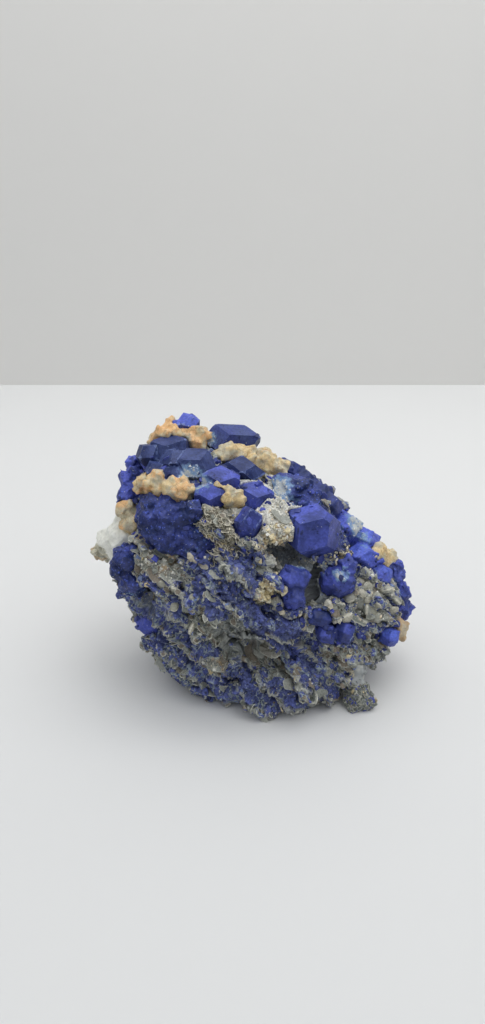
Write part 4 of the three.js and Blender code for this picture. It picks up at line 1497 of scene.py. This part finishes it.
def sowOver(ground, plans):
    total = 0
    for name, plan in plans.items():
        seedbed = placed(name, ground.data.copy())
        given = {**plan, "Kinds": kinds[plan["kinds"]], "Stone": stones[plan["stone"]]}
        dressWith(seedbed, sowTree, given)
        if "skin" in plan:
            closeSkin(seedbed, plan["skin"], 1)
            dressWith(seedbed, reliefTree, plan["relief"])
            thinned(seedbed, plan["keep"])
        settled(seedbed)
        total += finished(seedbed, plan["stone"], plan["slot"], smooth=plan["kinds"] == "nodule")
    return total


sprinkleZone = {"reach": 3.0, "least": 0.15, "most": 1.15, "above": 2.0, "sugar": 1.8}
sprinkles = {
    "sugar_crust": {
        "kinds": "angular", "stone": "sugarGrain", "slot": "white_calcite", "Share": "sugar", "Seed": 31,
        "Per square mm": 1.6, "Gap": 0.4, "Smallest": 0.3, "Largest": 1.1, "Sink": 0.15, "Tilt": 0.6,
    },
    "young_crystals": {
        "kinds": "blocky", "stone": "youngGrain", "slot": "lazurite", "Share": "nearRock", "Seed": 32,
        "Per square mm": 0.16, "Gap": 1.0, "Smallest": 0.7, "Largest": 3.4, "Sink": 0.2, "Tilt": 0.6,
    },
}

footingsAbove = 0.8
footings = {
    "tip_grains": {
        "kinds": "blocky", "stone": "tipGrain", "slot": "tan_calcite", "Share": "tanStain", "Seed": 51,
        "Per square mm": 0.35, "Gap": 1.1, "Smallest": 0.9, "Largest": 3.0, "Sink": 0.1, "Tilt": 0.7,
    },
    "foot_flakes": {
        "kinds": "flake", "stone": "footFlake", "slot": "mica_rock", "Share": "greyStain", "Seed": 52,
        "Per square mm": 0.9, "Gap": 0.5, "Smallest": 0.8, "Largest": 2.6, "Sink": -0.02, "Tilt": 0.5,
        "Along layers": 0.2,
    },
}


def groundOf(names):  # the named pieces in one mesh, to sow small things on
    shape = bmesh.new()
    for name in names:
        shape.from_mesh(bpy.data.objects[name + "_stone"].data)
    return placed("ground", meshOf(shape, "ground"))


def sowOnCrystals():
    ground = groundOf((*crystals, *wornCrystals, *masses))
    spots = points(ground.data)
    frosted = np.clip(readBack(ground.data, "frost") - contactDust["most"], 0, 1)
    marked(ground.data, "sugar", frosted * sprinkleZone["sugar"])
    gap = gapsTo(spots, ["matrix"], sprinkleZone["reach"])
    near = np.clip(sprinkleZone["most"] - gap / sprinkleZone["reach"], sprinkleZone["least"], 1)
    marked(ground.data, "nearRock", near * (spots[:, 2] > sprinkleZone["above"] * mm))
    total = sowOver(ground, sprinkles)
    bpy.data.objects.remove(ground)
    return total


def sowOnWhiteCalcite():
    ground = groundOf(whiteCalcites)
    above = points(ground.data)[:, 2] > footingsAbove * mm
    for stain in whiteStains:
        marked(ground.data, stain, readBack(ground.data, stain) * above)
    total = sowOver(ground, footings)
    bpy.data.objects.remove(ground)
    return total


triangles = makeCrystals()
triangles += makeHeaps(wornCrystals, wornFinish, "lazurite")
triangles += makeHeaps(masses, massFinish, "lazurite")
triangles += makeHeaps(tanCalcites, calciteFinish, "tan_calcite")
triangles += makeWhiteCalcites()
hostRock = makeHostRock()
triangles += sowOver(hostRock, sowings)
triangles += sowOnCrystals()
triangles += sowOnWhiteCalcite()
thinned(hostRock, rockFinish["keep"])
settled(hostRock)
triangles += finished(hostRock, "rock", "mica_rock", "matrix")
print(f"{triangles} triangles in all")

print("finished")
